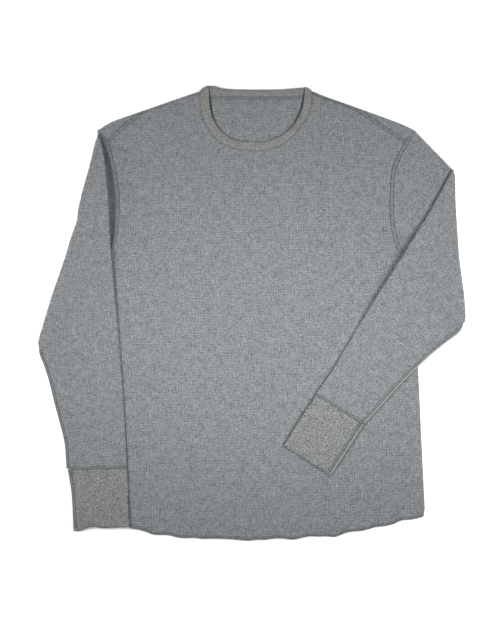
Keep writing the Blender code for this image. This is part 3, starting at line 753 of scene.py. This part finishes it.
def build_neckband():
    c = np.array([0.0, 0.05, 0.14, 0.28, 0.42, 0.58, 0.72, 0.86, 0.95, 1.0])
    dome = np.sin(np.pi * np.clip(c, 0, 1)) ** 0.6

    def section(a, b, angle, turn, lift):
        width = np.linalg.norm(b - a)
        w = np.concatenate([c, c[::-1]]) * width
        s = (1 + math.cos(angle)) / 2
        outer = ROLL - 0.35 + (0.35 + 0.75 * s) * dome
        inner = ROLL_IN + 0.45 - (0.45 + 0.65 * (1 - s)) * dome
        r = np.concatenate([inner, outer[::-1]])
        full = r + 0.9 * np.sin(math.pi * w / width)
        p = a + (b - a) / width * w[:, None] + turn * (full * math.sin(angle))[:, None]
        stand = lift * (1 + 0.45 * (1 - w / width))
        return np.column_stack([p, TUBE_MID + stand * s + r * math.cos(angle)]), w

    rings, us, run = [], [], 0.0
    none = np.zeros(2)
    last = None

    def add(ring, w, at):
        nonlocal run, last
        if last is not None:
            run += np.linalg.norm(at - last)
        last = at
        rings.append(ring)
        us.append(np.column_stack([np.full(len(w), run), w]))

    for t in np.linspace(-1, 1, BAND_FRONT + 1):
        a, b = P(neck_front(t, False)), P(neck_front(t, True))
        r, w = section(a, b, 0.0, none, float(UP((a + b) / 2)))
        add(r, w, (a + b) / 2)
    for side in (1, -1):
        a, b = P(neck_front(side, False)), P(neck_front(side, True))
        turn = unit((-(b - a)[1], (b - a)[0]))
        turn = turn if turn[1] > 0 else -turn
        lift = float(UP((a + b) / 2))
        half = [section(a, b, math.pi * s / BAND_TURN, turn, lift) for s in range(1, BAND_TURN + 1)]
        if side > 0:
            for s, (r, w) in enumerate(half):
                add(r, w, (a + b) / 2 + P((0, 0.5 * s)))
            for k in range(1, BAND_REAR):
                t = math.cos(math.pi * k / BAND_REAR)
                a2, b2 = P(neck_back(t, False)), P(neck_back(t, True))
                r, w = section(a2, b2, math.pi, none, 0.0)
                r[:, 2] += neck_stand(r[:, :2])
                add(r, w, (a2 + b2) / 2)
        else:
            for s, (r, w) in enumerate(half[::-1]):
                add(r, w, (a + b) / 2 + P((0, 0.5 * s)))
    rows, cols = len(rings), len(rings[0])
    j, i = np.meshgrid(np.arange(rows), np.arange(cols), indexing="ij")
    j2, i2 = (j + 1) % rows, (i + 1) % cols
    F = np.stack([j * cols + i, j * cols + i2, j2 * cols + i2, j2 * cols + i], -1).reshape(-1, 4)
    return np.vstack(rings), F, np.vstack(us)


# ------------------------------------------------------------------ seams
def ribbon(line, offsets, heights, surface, thick=0.25, step=1.6, fade=6.0, start=0.0, widths=None):
    """A narrow raised strip lying on a surface along a line: offsets across it, and the
    height of its face over the cloth at each. widths scales the offsets along the line."""
    total = run_of(P(line))[-1]
    n = max(4, int(total / step))
    if widths is not None:
        widths = np.interp(np.linspace(0, total, n + 1), run_of(P(line)), widths)
    line = even(line, n)
    d = along(line)
    nrm = np.stack([-d[:, 1], d[:, 0]], 1)
    o, hh = P(offsets), P(heights)
    w = np.ones(n + 1) if widths is None else widths
    p = line[:, None] + nrm[:, None] * (o[None, :] * w[:, None])[:, :, None]
    base = surface(p)
    s = np.linspace(0, total, n + 1)
    end = np.minimum(ramp(s / fade + 0.2), ramp((total - s) / fade + 0.2))[:, None]
    z = base + hh[None, :] * end
    under = base - thick
    ring = np.concatenate([np.concatenate([p, z[..., None]], -1), np.concatenate([p, under[..., None]], -1)[:, ::-1]], 1)
    rows, cols = ring.shape[:2]
    F = [grid_faces(rows, cols, wrap=True)]
    half = cols // 2
    for base_row, flip in ((0, 1), (rows - 1, -1)):
        b = base_row * cols
        cap = np.array([[b + i, b + i + 1, b + cols - 2 - i, b + cols - 1 - i] for i in range(half - 1)])
        F.append(cap[:, ::flip])
    across = np.concatenate([o, o[::-1]])
    U = np.stack(np.broadcast_arrays(across[None, :], (s + start)[:, None]), -1).reshape(-1, 2)
    return ring.reshape(-1, 3), np.vstack(F), U


def stitches(line, offset, surface, pitch=3.2, long=2.6, radius=0.42, rise=0.15, lean=0.0, seed=1):
    """A row of short stitches along a line, each a small closed spindle, uneven as sewn.
    offset is one distance to the side, or one for each point of the line."""
    line = P(line)
    total = run_of(line)[-1]
    n = max(1, int(total / pitch))
    rng = np.random.default_rng(seed)
    s = (np.arange(n) + 0.5) * total / n + rng.normal(0, 0.12, n) * pitch
    run = run_of(line)
    d = along(line)
    at = np.stack([np.interp(s, run, line[:, k]) for k in (0, 1)], 1)
    dr = np.stack([np.interp(s, run, d[:, k]) for k in (0, 1)], 1)
    dr /= np.linalg.norm(dr, axis=1, keepdims=True)
    nr = np.stack([-dr[:, 1], dr[:, 0]], 1)
    if np.ndim(offset):
        offset = np.interp(s, run, offset)
    at = at + nr * (offset + rng.normal(0, 0.08, n))[:, None]
    ang = lean + rng.normal(0, 0.05, n)
    dd = dr * np.cos(ang)[:, None] + nr * np.sin(ang)[:, None]
    nn = np.stack([-dd[:, 1], dd[:, 0]], 1)
    L = long * (1 + rng.normal(0, 0.05, n))
    t = np.array([-0.5, -0.32, 0.0, 0.32, 0.5])
    w = np.array([0.35, 0.85, 1.0, 0.85, 0.35]) * radius
    a = np.arange(6) * math.pi / 3
    c = at[:, None] + dd[:, None] * (t[None, :, None] * L[:, None, None])
    base = surface(c) + rise + np.array([-0.25, 0.05, 0.15, 0.05, -0.25])[None]
    xy = c[:, :, None] + nn[:, None, None] * (w[:, None] * np.cos(a)[None])[None, :, :, None]
    z = base[:, :, None] + (w[:, None] * np.sin(a)[None])[None]
    V = np.concatenate([xy, z[..., None]], -1).reshape(-1, 3)
    one = [grid_faces(5, 6, wrap=True), np.array([[0, 5, 4, 1], [1, 4, 3, 2]]), np.array([[24, 25, 28, 29], [25, 26, 27, 28]])]
    one = np.vstack(one)
    F = (np.arange(n)[:, None, None] * 30 + one[None]).reshape(-1, 4)
    U = np.broadcast_to(s[:, None, None], (n, 30, 2)).reshape(-1, 2) * 7.3
    return V, F, U


def clip_line(line, keep):
    """The longest run of a line whose points are kept."""
    ok = keep(line)
    best, k = (0, 0), 0
    while k < len(ok):
        if ok[k]:
            m = k
            while m < len(ok) and ok[m]:
                m += 1
            if m - k > best[1] - best[0]:
                best = (k, m)
            k = m
        k += 1
    return line[best[0]:best[1]]


# ------------------------------------------------------------------ materials
def nodes_of(mat):
    mat.use_nodes = True
    nt = mat.node_tree
    nt.nodes.clear()
    out = nt.nodes.new("ShaderNodeOutputMaterial")
    bsdf = nt.nodes.new("ShaderNodeBsdfPrincipled")
    nt.links.new(bsdf.outputs["BSDF"], out.inputs["Surface"])
    return nt, bsdf


class Tree:
    """Short hand for building a node tree."""

    def __init__(self, nt):
        self.nt = nt

    def put(self, socket, value):
        if isinstance(value, bpy.types.NodeSocket):
            self.nt.links.new(value, socket)
        else:
            socket.default_value = value

    def math(self, op, a, b=0.0, c=0.0, clamp=False):
        n = self.nt.nodes.new("ShaderNodeMath")
        n.operation, n.use_clamp = op, clamp
        for k, v in enumerate((a, b, c)):
            self.put(n.inputs[k], v)
        return n.outputs[0]

    def vec(self, op, a, b):
        n = self.nt.nodes.new("ShaderNodeVectorMath")
        n.operation = op
        self.put(n.inputs[0], a)
        self.put(n.inputs[1], b)
        return n.outputs[0]

    def grain(self):
        n = self.nt.nodes.new("ShaderNodeUVMap")
        n.uv_map = "grain"
        return self.vec("MULTIPLY", n.outputs["UV"], (1000.0, 1000.0, 1000.0))   # millimetres

    def noise(self, where, scale, detail=1.5, rough=0.6):
        """Noise whose features are about scale = (across, along) millimetres."""
        n = self.nt.nodes.new("ShaderNodeTexNoise")
        n.noise_dimensions = "2D"
        self.put(n.inputs["Vector"], self.vec("MULTIPLY", where, (1.0 / scale[0], 1.0 / scale[1], 1.0)))
        n.inputs["Scale"].default_value = 1.0
        n.inputs["Detail"].default_value = detail
        n.inputs["Roughness"].default_value = rough
        return n.outputs[0]

    def split(self, v):
        n = self.nt.nodes.new("ShaderNodeSeparateXYZ")
        self.put(n.inputs[0], v)
        return n.outputs

    def mix(self, fac, a, b):
        n = self.nt.nodes.new("ShaderNodeMix")
        n.data_type = "RGBA"
        self.put(n.inputs[0], fac)
        self.put(n.inputs[6], a)
        self.put(n.inputs[7], b)
        return n.outputs[2]

    def scale_colour(self, colour, by):
        n = self.nt.nodes.new("ShaderNodeVectorMath")
        n.operation = "SCALE"
        self.put(n.inputs[0], colour)
        self.put(n.inputs["Scale"], by)
        return n.outputs[0]

    def bump(self, height, distance, strength=1.0):
        n = self.nt.nodes.new("ShaderNodeBump")
        n.inputs["Strength"].default_value = strength
        n.inputs["Distance"].default_value = distance
        self.put(n.inputs["Height"], height)
        return n.outputs[0]


ALBEDO = 0.150


def waffle_material(name, colour, contrast=1.0, wale=4.1, course=4.65):
    mat = bpy.data.materials.new(name)
    nt, bsdf = nodes_of(mat)
    T = Tree(nt)
    g = T.grain()
    wob = T.noise(g, (23.0, 17.0), 0.0)
    wobble = T.math("MULTIPLY", T.math("SUBTRACT", wob, 0.5), 2.2)
    s = T.split(g)
    u = T.math("ADD", s[0], wobble)
    v = T.math("ADD", s[1], wobble)
    cu = T.math("COSINE", T.math("MULTIPLY", u, 2 * math.pi / wale))
    cv = T.math("COSINE", T.math("MULTIPLY", v, 2 * math.pi / course))
    ridge = T.math("MAXIMUM", T.math("MULTIPLY", T.math("ADD", cu, 1.0), 0.5),
                   T.math("MULTIPLY", T.math("ADD", cv, 1.0), 0.42))
    fleck = T.noise(g, (1.5, 1.35), 1.0, 0.7)
    grain = T.noise(T.vec("ADD", g, (131.0, 7.0, 0.0)), (2.9, 2.7), 1.0, 0.7)
    streak = T.noise(T.vec("ADD", g, (31.0, 57.0, 0.0)), (8.5, 2.5), 1.0, 0.6)
    rib = T.noise(T.vec("ADD", g, (71.0, 17.0, 0.0)), (2.6, 10.0), 1.0, 0.6)
    cloud = T.noise(T.vec("ADD", g, (11.0, 97.0, 0.0)), (17.0, 12.0), 1.0, 0.6)
    total = T.math("MULTIPLY", T.math("SUBTRACT", fleck, 0.5), 1.5)
    total = T.math("ADD", total, T.math("MULTIPLY", T.math("SUBTRACT", grain, 0.5), 0.95))
    total = T.math("ADD", total, T.math("MULTIPLY", T.math("SUBTRACT", streak, 0.5), 0.7))
    total = T.math("ADD", total, T.math("MULTIPLY", T.math("SUBTRACT", rib, 0.5), 0.55))
    total = T.math("ADD", total, T.math("MULTIPLY", T.math("SUBTRACT", cloud, 0.5), 0.36))
    # the ridge term makes the colour lighter on the raised waffle ridges and darker in the pits between them: painted
    # shade of the waffle's relief, on top of its bump
    total = T.math("ADD", total, T.math("MULTIPLY", T.math("SUBTRACT", ridge, 0.5), 0.26))
    factor = T.math("MAXIMUM", T.math("ADD", T.math("MULTIPLY", total, contrast), 1.0), 0.25)
    cast = T.math("MULTIPLY", T.math("SUBTRACT", T.noise(T.vec("ADD", g, (303.0, 41.0, 0.0)), (4.0, 3.6), 1.0, 0.6), 0.3), 2.5, clamp=True)
    r, gg, b = colour
    hue = T.mix(cast, (r * 1.035, gg * 0.997, b * 0.985, 1.0), (r * 0.965, gg * 1.003, b * 1.015, 1.0))
    T.put(bsdf.inputs["Base Color"], T.scale_colour(hue, factor))
    height = T.math("ADD", ridge, T.math("MULTIPLY", fleck, 0.55))
    T.put(bsdf.inputs["Normal"], T.bump(height, 0.0006, 0.8))
    bsdf.inputs["Roughness"].default_value = 0.95
    bsdf.inputs["Specular IOR Level"].default_value = 0.12
    bsdf.inputs["Sheen Weight"].default_value = 0.08
    bsdf.inputs["Sheen Roughness"].default_value = 0.6
    mat["finish"] = "knit"
    return mat


def rib_material(name, colour, pitch=2.1, contrast=1.0, along_band=False):
    mat = bpy.data.materials.new(name)
    nt, bsdf = nodes_of(mat)
    T = Tree(nt)
    g = T.grain()
    s = T.split(g)
    wob = T.math("MULTIPLY", T.math("SUBTRACT", T.noise(g, (19.0, 19.0), 0.0), 0.5), 1.0)
    c = T.math("COSINE", T.math("MULTIPLY", T.math("ADD", s[0], wob), 2 * math.pi / pitch))
    ridge = T.math("MULTIPLY", T.math("ADD", c, 1.0), 0.5)
    fleck = T.noise(g, (1.5, 1.7), 1.0, 0.7)
    blot = T.noise(T.vec("ADD", g, (51.0, 27.0, 0.0)), (2.9, 3.6), 1.0, 0.7)
    cloud = T.noise(T.vec("ADD", g, (5.0, 207.0, 0.0)), (14.0, 12.0), 1.0, 0.6)
    total = T.math("MULTIPLY", T.math("SUBTRACT", fleck, 0.5), 2.3)
    total = T.math("ADD", total, T.math("MULTIPLY", T.math("SUBTRACT", blot, 0.5), 1.5))
    total = T.math("ADD", total, T.math("MULTIPLY", T.math("SUBTRACT", cloud, 0.5), 0.4))
    # the ridge term makes the colour darker in the grooves between the ribs: painted shade of the rib's relief, on top
    # of its bump
    total = T.math("ADD", total, T.math("MULTIPLY", T.math("SUBTRACT", ridge, 0.5), 0.16))
    factor = T.math("MAXIMUM", T.math("ADD", T.math("MULTIPLY", total, contrast), 1.0), 0.25)
    T.put(bsdf.inputs["Base Color"], T.scale_colour(tuple(colour), factor))
    T.put(bsdf.inputs["Normal"], T.bump(T.math("ADD", ridge, T.math("MULTIPLY", fleck, 0.4)), 0.0005, 0.8))
    bsdf.inputs["Roughness"].default_value = 0.95
    bsdf.inputs["Specular IOR Level"].default_value = 0.12
    bsdf.inputs["Sheen Weight"].default_value = 0.08
    bsdf.inputs["Sheen Roughness"].default_value = 0.6
    return mat


def thread_material(name, colour, contrast=0.8):
    """Overlocked threads lying across the strip."""
    mat = bpy.data.materials.new(name)
    nt, bsdf = nodes_of(mat)
    T = Tree(nt)
    g = T.grain()
    s = T.split(g)
    c = T.math("MULTIPLY", T.math("ADD", T.math("COSINE", T.math("MULTIPLY", s[1], 2 * math.pi / 1.5)), 1.0), 0.5)
    fleck = T.noise(g, (1.6, 1.2), 1.5, 0.6)
    patchy = T.noise(T.vec("ADD", g, (3.0, 9.0, 0.0)), (3.0, 5.0), 1.0, 0.6)
    total = T.math("ADD", T.math("MULTIPLY", T.math("SUBTRACT", fleck, 0.5), 0.9),
                   T.math("MULTIPLY", T.math("SUBTRACT", patchy, 0.5), 0.9))
    factor = T.math("MAXIMUM", T.math("ADD", T.math("MULTIPLY", total, contrast), 1.0), 0.25)
    T.put(bsdf.inputs["Base Color"], T.scale_colour(tuple(colour), factor))
    T.put(bsdf.inputs["Normal"], T.bump(T.math("ADD", c, fleck), 0.0004, 0.7))
    bsdf.inputs["Roughness"].default_value = 0.85
    bsdf.inputs["Specular IOR Level"].default_value = 0.2
    return mat


def tint(r, g, b, k=1.0):
    return (ALBEDO * r * k, ALBEDO * g * k, ALBEDO * b * k)


KNIT = waffle_material("waffle_knit", tint(0.955, 1.003, 1.045))
RIB = rib_material("rib_knit", tint(1.04, 1.085, 1.03))
BAND = rib_material("rib_neckband", tint(1.09, 1.12, 1.06), contrast=0.68)
THREAD = thread_material("sewing_thread", tint(0.30, 0.39, 0.41))
STRIP = thread_material("seam_strip", tint(0.88, 0.965, 0.98), 1.0)
CREAM = thread_material("seam_edge", tint(1.50, 1.49, 1.36), 0.4)

# ------------------------------------------------------------------ pieces
pieces = {}


def cloth(name, mesh, mat, body_slot, node, tight=None, push=0.5):
    V, F, U = mesh
    F = oriented(V, F)
    V, F, U = shell(V, F, U, push=push, tight=tight)
    obj = make_object(name, V, F, [mat], U)
    finish_piece(obj, body_slot, node)
    return obj


def finish_piece(obj, slot, *replaced):
    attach(obj, "root")
    if replaced:
        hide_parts(*replaced)
    pieces[obj.name] = obj
    return obj


V, F, U = build_front()
front = finish_piece(make_object("front_cloth", V, F, [KNIT], U), "waffle_knit", "front")
back = cloth("back_cloth", build_back(), KNIT, "waffle_knit", "back", tight=lambda p: p[:, 1] > 71)
sleeves = {s: cloth("sleeve_%s_cloth" % n, build_sleeve(s), KNIT, "waffle_knit", "sleeve_" + n, tight=lambda p: p[:, 1] < 1e9)
           for s, n in ((1, "left"), (-1, "right"))}
cuffs = {s: cloth("cuff_%s_cloth" % n, build_cuff(s), RIB, "rib_knit", "cuff_" + n)
         for s, n in ((1, "left"), (-1, "right"))}
V, F, U = build_neckband()
band = finish_piece(make_object("neckband_cloth", V, F, [BAND], U), "rib_knit", "neckband")

# ------------------------------------------------------------------ stitching
ARM_POLY = {s: np.vstack([LINES[s][1], LINES[s][3], LINES[s][4][::-1], LINES[s][2][::-1]]) for s in (-1, 1)}


def uncovered(line):
    """Points of a line not under a folded forearm."""
    return ~(inside(line, ARM_POLY[1]) | inside(line, ARM_POLY[-1]))


def flatlock(line, surface, half, seed, radius=0.42, high=0.4):
    """A flatlocked seam: a strip of crossing threads between two rows of stitches. half is
    one half width, or one for each point of the line."""
    widths = np.broadcast_to(half, len(line)).astype(float)
    o = np.array([-1.0, -0.78, -0.4, 0.0, 0.4, 0.78, 1.0])
    h = np.array([0.05, 0.5, 0.9, 1.0, 0.9, 0.5, 0.05]) * high
    strip = ribbon(line, o, h, surface, widths=widths)
    rows = [stitches(line, -widths, surface, rise=0.05, seed=seed, radius=radius, pitch=2.6, long=2.8),
            stitches(line, widths, surface, rise=0.05, seed=seed + 1, radius=radius, pitch=2.6, long=2.8)]
    return strip, rows


strips, threads, creams = [], [], []
for side in (-1, 1):
    arm = even(side_arm(side)[10:], 160)
    arm = clip_line(arm, uncovered)
    strip, rows = flatlock(arm[:-1], top_of_front, 2.9 if side > 0 else 1.6, 10 + side)
    strips.append(strip)
    threads += rows
    # the shoulder seam narrows and ends where it runs up to the fold along the top
    seam = even(shoulder(side)[1], 160)
    room, _ = to_line(seam, shoulder(side)[0])
    stop = int(np.argmax(room < 3.0)) if (room < 3.0).any() else len(seam)
    seam, room = seam[2:stop], room[2:stop]
    strip, rows = flatlock(seam, top_of_front, np.clip((room - 1.6) * 0.5, 0.5, 2.6), 20 + side)
    strips.append(strip)
    threads += rows
body_strip = make_object("body_seam_strips", *join(strips)[:2], [STRIP], join(strips)[2])
body_thread = make_object("body_seam_threads", *join(threads)[:2], [THREAD], join(threads)[2])
for o in (body_strip, body_thread):
    finish_piece(o, "waffle_knit")

# the hem, overlocked
hem = hem_line()[3:-3]
hem_in = moved(hem, (0, 1), 1.2)
hem_in[:, 1] += 0.0
hem_top = lambda p: top_of_front(p)
V, F, U = join([ribbon(hem_in, (-1.6, -1.0, 0.0, 1.0, 1.9), (0.02, 0.3, 0.4, 0.3, 0.02), hem_top, thick=0.2)])
hem_strip = finish_piece(make_object("hem_overlock", V, F, [STRIP], U), "waffle_knit")
V, F, U = join([stitches(moved(hem, (0, 1), 3.6), 0.0, hem_top, rise=0.1, radius=0.4, seed=41),
                stitches(moved(hem, (0, 1), 0.9), 0.0, hem_top, rise=0.25, radius=0.45, seed=42, lean=0.9, pitch=2.2, long=2.2)])
hem_thread = finish_piece(make_object("hem_threads", V, F, [THREAD], U), "waffle_knit")

# cuff seams, underarm seams and cuff ends
cuff_extra = {}
for side, word in ((1, "left"), (-1, "right")):
    fold, over, under, c_over, c_under = LINES[side]
    top = top_of_forearm(side)
    a, b = c_over[0], c_under[0]
    seam = even([a + (b - a) * 0.03, a + (b - a) * 0.97], 60)
    away = unit(over[-1] - over[-20])                    # toward the hand
    strip = ribbon(seam - away * 1.9, (-1.5, -1.1, 0.0, 1.1, 1.5), (0.05, 0.35, 0.45, 0.35, 0.05), top)
    rows = [stitches(seam - away * 3.6, 0.0, top, rise=0.0, seed=51 + side, radius=0.42, pitch=2.6, long=2.6),
            stitches(seam - away * 0.1, 0.0, top, rise=0.0, seed=53 + side, radius=0.55, pitch=2.6, long=2.8)]
    edge = even(under, 200)[10:]
    toward = (-side, 0.6)

    def at(line, inset):
        return moved(line, toward, inset)

    def cord_strip(line, inset, half, high):
        return ribbon(at(line, inset), np.array([-1, -0.75, -0.4, 0, 0.4, 0.75, 1]) * half,
                      np.array([0.04, 0.5, 0.85, 1, 0.85, 0.5, 0.04]) * high, top)

    def on_cuff(p):
        return top(p) + CUFF_SWELL

    def cuff_cord(line, inset, half, high):
        return ribbon(at(line, inset), np.array([-1, -0.75, -0.4, 0, 0.4, 0.75, 1]) * half,
                      np.array([0.04, 0.5, 0.85, 1, 0.85, 0.5, 0.04]) * high, on_cuff, thick=0.8)

    c_edge = even(c_under, 70)[:-2]
    hand = even([c_over[-1], c_under[-1]], 60)[2:-2] - away * 1.6
    wave = smooth(CUFF_END[side], 8)
    hand = hand + away * np.interp(np.linspace(0, 1, len(hand)), wave[:, 0], wave[:, 1])[:, None]
    c_rows = [stitches(hand + away * 1.2, 0.0, on_cuff, rise=-0.35, seed=71 + side, radius=0.4, pitch=2.4, long=2.4)]
    if side > 0:
        under_strip = cord_strip(edge, 5.9, 1.5, 0.3)
        cream = [cord_strip(edge, 2.0, 1.35, 0.8), cuff_cord(c_edge, 2.2, 1.25, 0.7)]
        rows += [stitches(at(edge, 3.9), 0.0, top, rise=0.0, seed=55, radius=0.5, pitch=2.6, long=2.7),
                 stitches(at(edge, 7.6), 0.0, top, rise=-0.1, seed=57, radius=0.4, pitch=2.6, long=2.3)]
        c_strip = [cuff_cord(c_edge, 6.4, 1.4, 0.3)]
        c_rows += [stitches(at(c_edge, 4.5), 0.0, on_cuff, rise=0.0, seed=58, radius=0.55, pitch=2.6, long=2.7),
                   stitches(at(c_edge, 8.2), 0.0, on_cuff, rise=0.0, seed=59, radius=0.5, pitch=2.6, long=2.5)]
    else:
        under_strip = cord_strip(edge, 2.6, 2.0, 0.45)
        cream = [cord_strip(seam[8:22] - away * 5.6, 0.0, 0.6, 0.4), cord_strip(seam[34:50] - away * 5.6, 0.0, 0.6, 0.4)]
        rows += [stitches(at(edge, 0.9), 0.0, top, rise=-0.1, seed=55, radius=0.55, pitch=2.6, long=2.8),
                 stitches(at(edge, 5.0), 0.0, top, rise=0.1, seed=57, radius=0.4, pitch=2.6, long=2.4)]
        c_strip = [cuff_cord(c_edge, 3.0, 2.0, 0.4)]
        c_rows += [stitches(at(c_edge, 1.0), 0.0, on_cuff, rise=-0.1, seed=58, radius=0.6, pitch=2.6, long=2.8),
                   stitches(at(c_edge, 5.4), 0.0, on_cuff, rise=0.0, seed=59, radius=0.45, pitch=2.6, long=2.5)]
    V, F, U = join([strip, under_strip])
    o1 = finish_piece(make_object("sleeve_%s_seam_strips" % word, V, F, [STRIP], U), "waffle_knit")
    V, F, U = join(rows)
    o2 = finish_piece(make_object("sleeve_%s_threads" % word, V, F, [THREAD], U), "waffle_knit")
    V, F, U = join(cream[:1] if side > 0 else cream)
    o3 = finish_piece(make_object("sleeve_%s_seam_edge" % word, V, F, [CREAM], U), "waffle_knit")
    V, F, U = join(c_strip)
    o4 = finish_piece(make_object("cuff_%s_seam_strips" % word, V, F, [STRIP], U), "rib_knit")
    V, F, U = join(c_rows)
    o5 = finish_piece(make_object("cuff_%s_threads" % word, V, F, [THREAD], U), "rib_knit")
    cuff_extra[side] = [o4, o5]
    if side > 0:
        V, F, U = cream[1]
        cuff_extra[side].append(finish_piece(make_object("cuff_%s_seam_edge" % word, V, F, [CREAM], U), "rib_knit"))

# back of the neck: the seam below the band, on the inside
inner = lambda p: WALL + 0.02 + neck_stand(p)
nb = P([neck_back(t, True, 1.2) for t in np.linspace(-0.86, 0.86, 120)])
V, F, U = ribbon(nb, (-1.9, -1.3, 0.0, 1.3, 1.9), (0.03, 0.4, 0.55, 0.4, 0.03), inner)
neck_strip = finish_piece(make_object("neck_seam_strip", V, F, [STRIP], U), "waffle_knit")
V, F, U = join([stitches(nb, -2.1, inner, rise=0.1, seed=61, radius=0.55, pitch=3.0, long=2.4),
                stitches(nb, 1.9, inner, rise=0.1, seed=62, radius=0.38, pitch=3.6, long=2.2)])
neck_thread = finish_piece(make_object("neck_threads", V, F, [THREAD], U), "waffle_knit")

# ------------------------------------------------------------------ stage
floor_mat = bpy.data.materials.new("floor")
nt, bsdf = nodes_of(floor_mat)
bsdf.inputs["Base Color"].default_value = (0.95, 0.95, 0.95, 1.0)
bsdf.inputs["Roughness"].default_value = 1.0
bsdf.inputs["Specular IOR Level"].default_value = 0.0
bpy.ops.mesh.primitive_plane_add(size=8.0, location=(0, 0, -0.0003))
floor = bpy.context.object
floor.name = "floor"
floor.data.materials.append(floor_mat)

world = bpy.data.worlds.new("studio")
world.use_nodes = True
bg = world.node_tree.nodes["Background"]
bg.inputs["Color"].default_value = (1.0, 1.0, 1.0, 1.0)
bg.inputs["Strength"].default_value = 0.42
bpy.context.scene.world = world


def area_light(name, place, aim, size, power, colour=(1.0, 1.0, 1.0)):
    data = bpy.data.lights.new(name, "AREA")
    data.shape = "RECTANGLE"
    data.size, data.size_y = size
    data.energy = power
    data.color = colour
    obj = bpy.data.objects.new(name, data)
    bpy.context.scene.collection.objects.link(obj)
    obj.location = place
    way = np.array(aim) - np.array(place)
    from mathutils import Vector
    obj.rotation_euler = Vector(way).to_track_quat("-Z", "Y").to_euler()
    return obj


area_light("left_softbox", (-1.15, 0.06, 0.78), (-0.10, 0.04, 0.0), (0.45, 0.55), 14.3)
area_light("right_softbox", (1.15, 0.0, 0.78), (0.10, 0.0, 0.0), (0.45, 0.55), 16.0)


def spot_light(name, place, half_angle, power, wide, radius=0.12):
    data = bpy.data.lights.new(name, "SPOT")
    data.spot_size = 2 * math.radians(half_angle)
    data.spot_blend = 1.0
    data.shadow_soft_size = radius
    data.energy = power
    obj = bpy.data.objects.new(name, data)
    bpy.context.scene.collection.objects.link(obj)
    obj.location = place
    obj.scale = (wide, 1.0, 1.0)
    return obj


spot_light("top_wide", (0.035, 0.0, 1.6), 19.5, 38.0, 1.18)
spot_light("top_narrow", (0.025, -0.045, 1.6), 11.5, 42.0, 1.3)

# ------------------------------------------------------------------ camera
cam_data = bpy.data.cameras.new("camera")
cam_data.type = "PERSP"
cam_data.sensor_width = 36.0
DISTANCE = 2.6
cam_data.lens = 36.0 * (DISTANCE - 0.003) / 1.03125
cam = bpy.data.objects.new("camera", cam_data)
cam.location = (-0.0025, 0.0005, DISTANCE)
cam.rotation_euler = (0.0, 0.0, 0.0)
bpy.context.scene.collection.objects.link(cam)
bpy.context.scene.camera = cam

bpy.context.scene.view_settings.view_transform = "Standard"
bpy.context.scene.view_settings.look = "None"
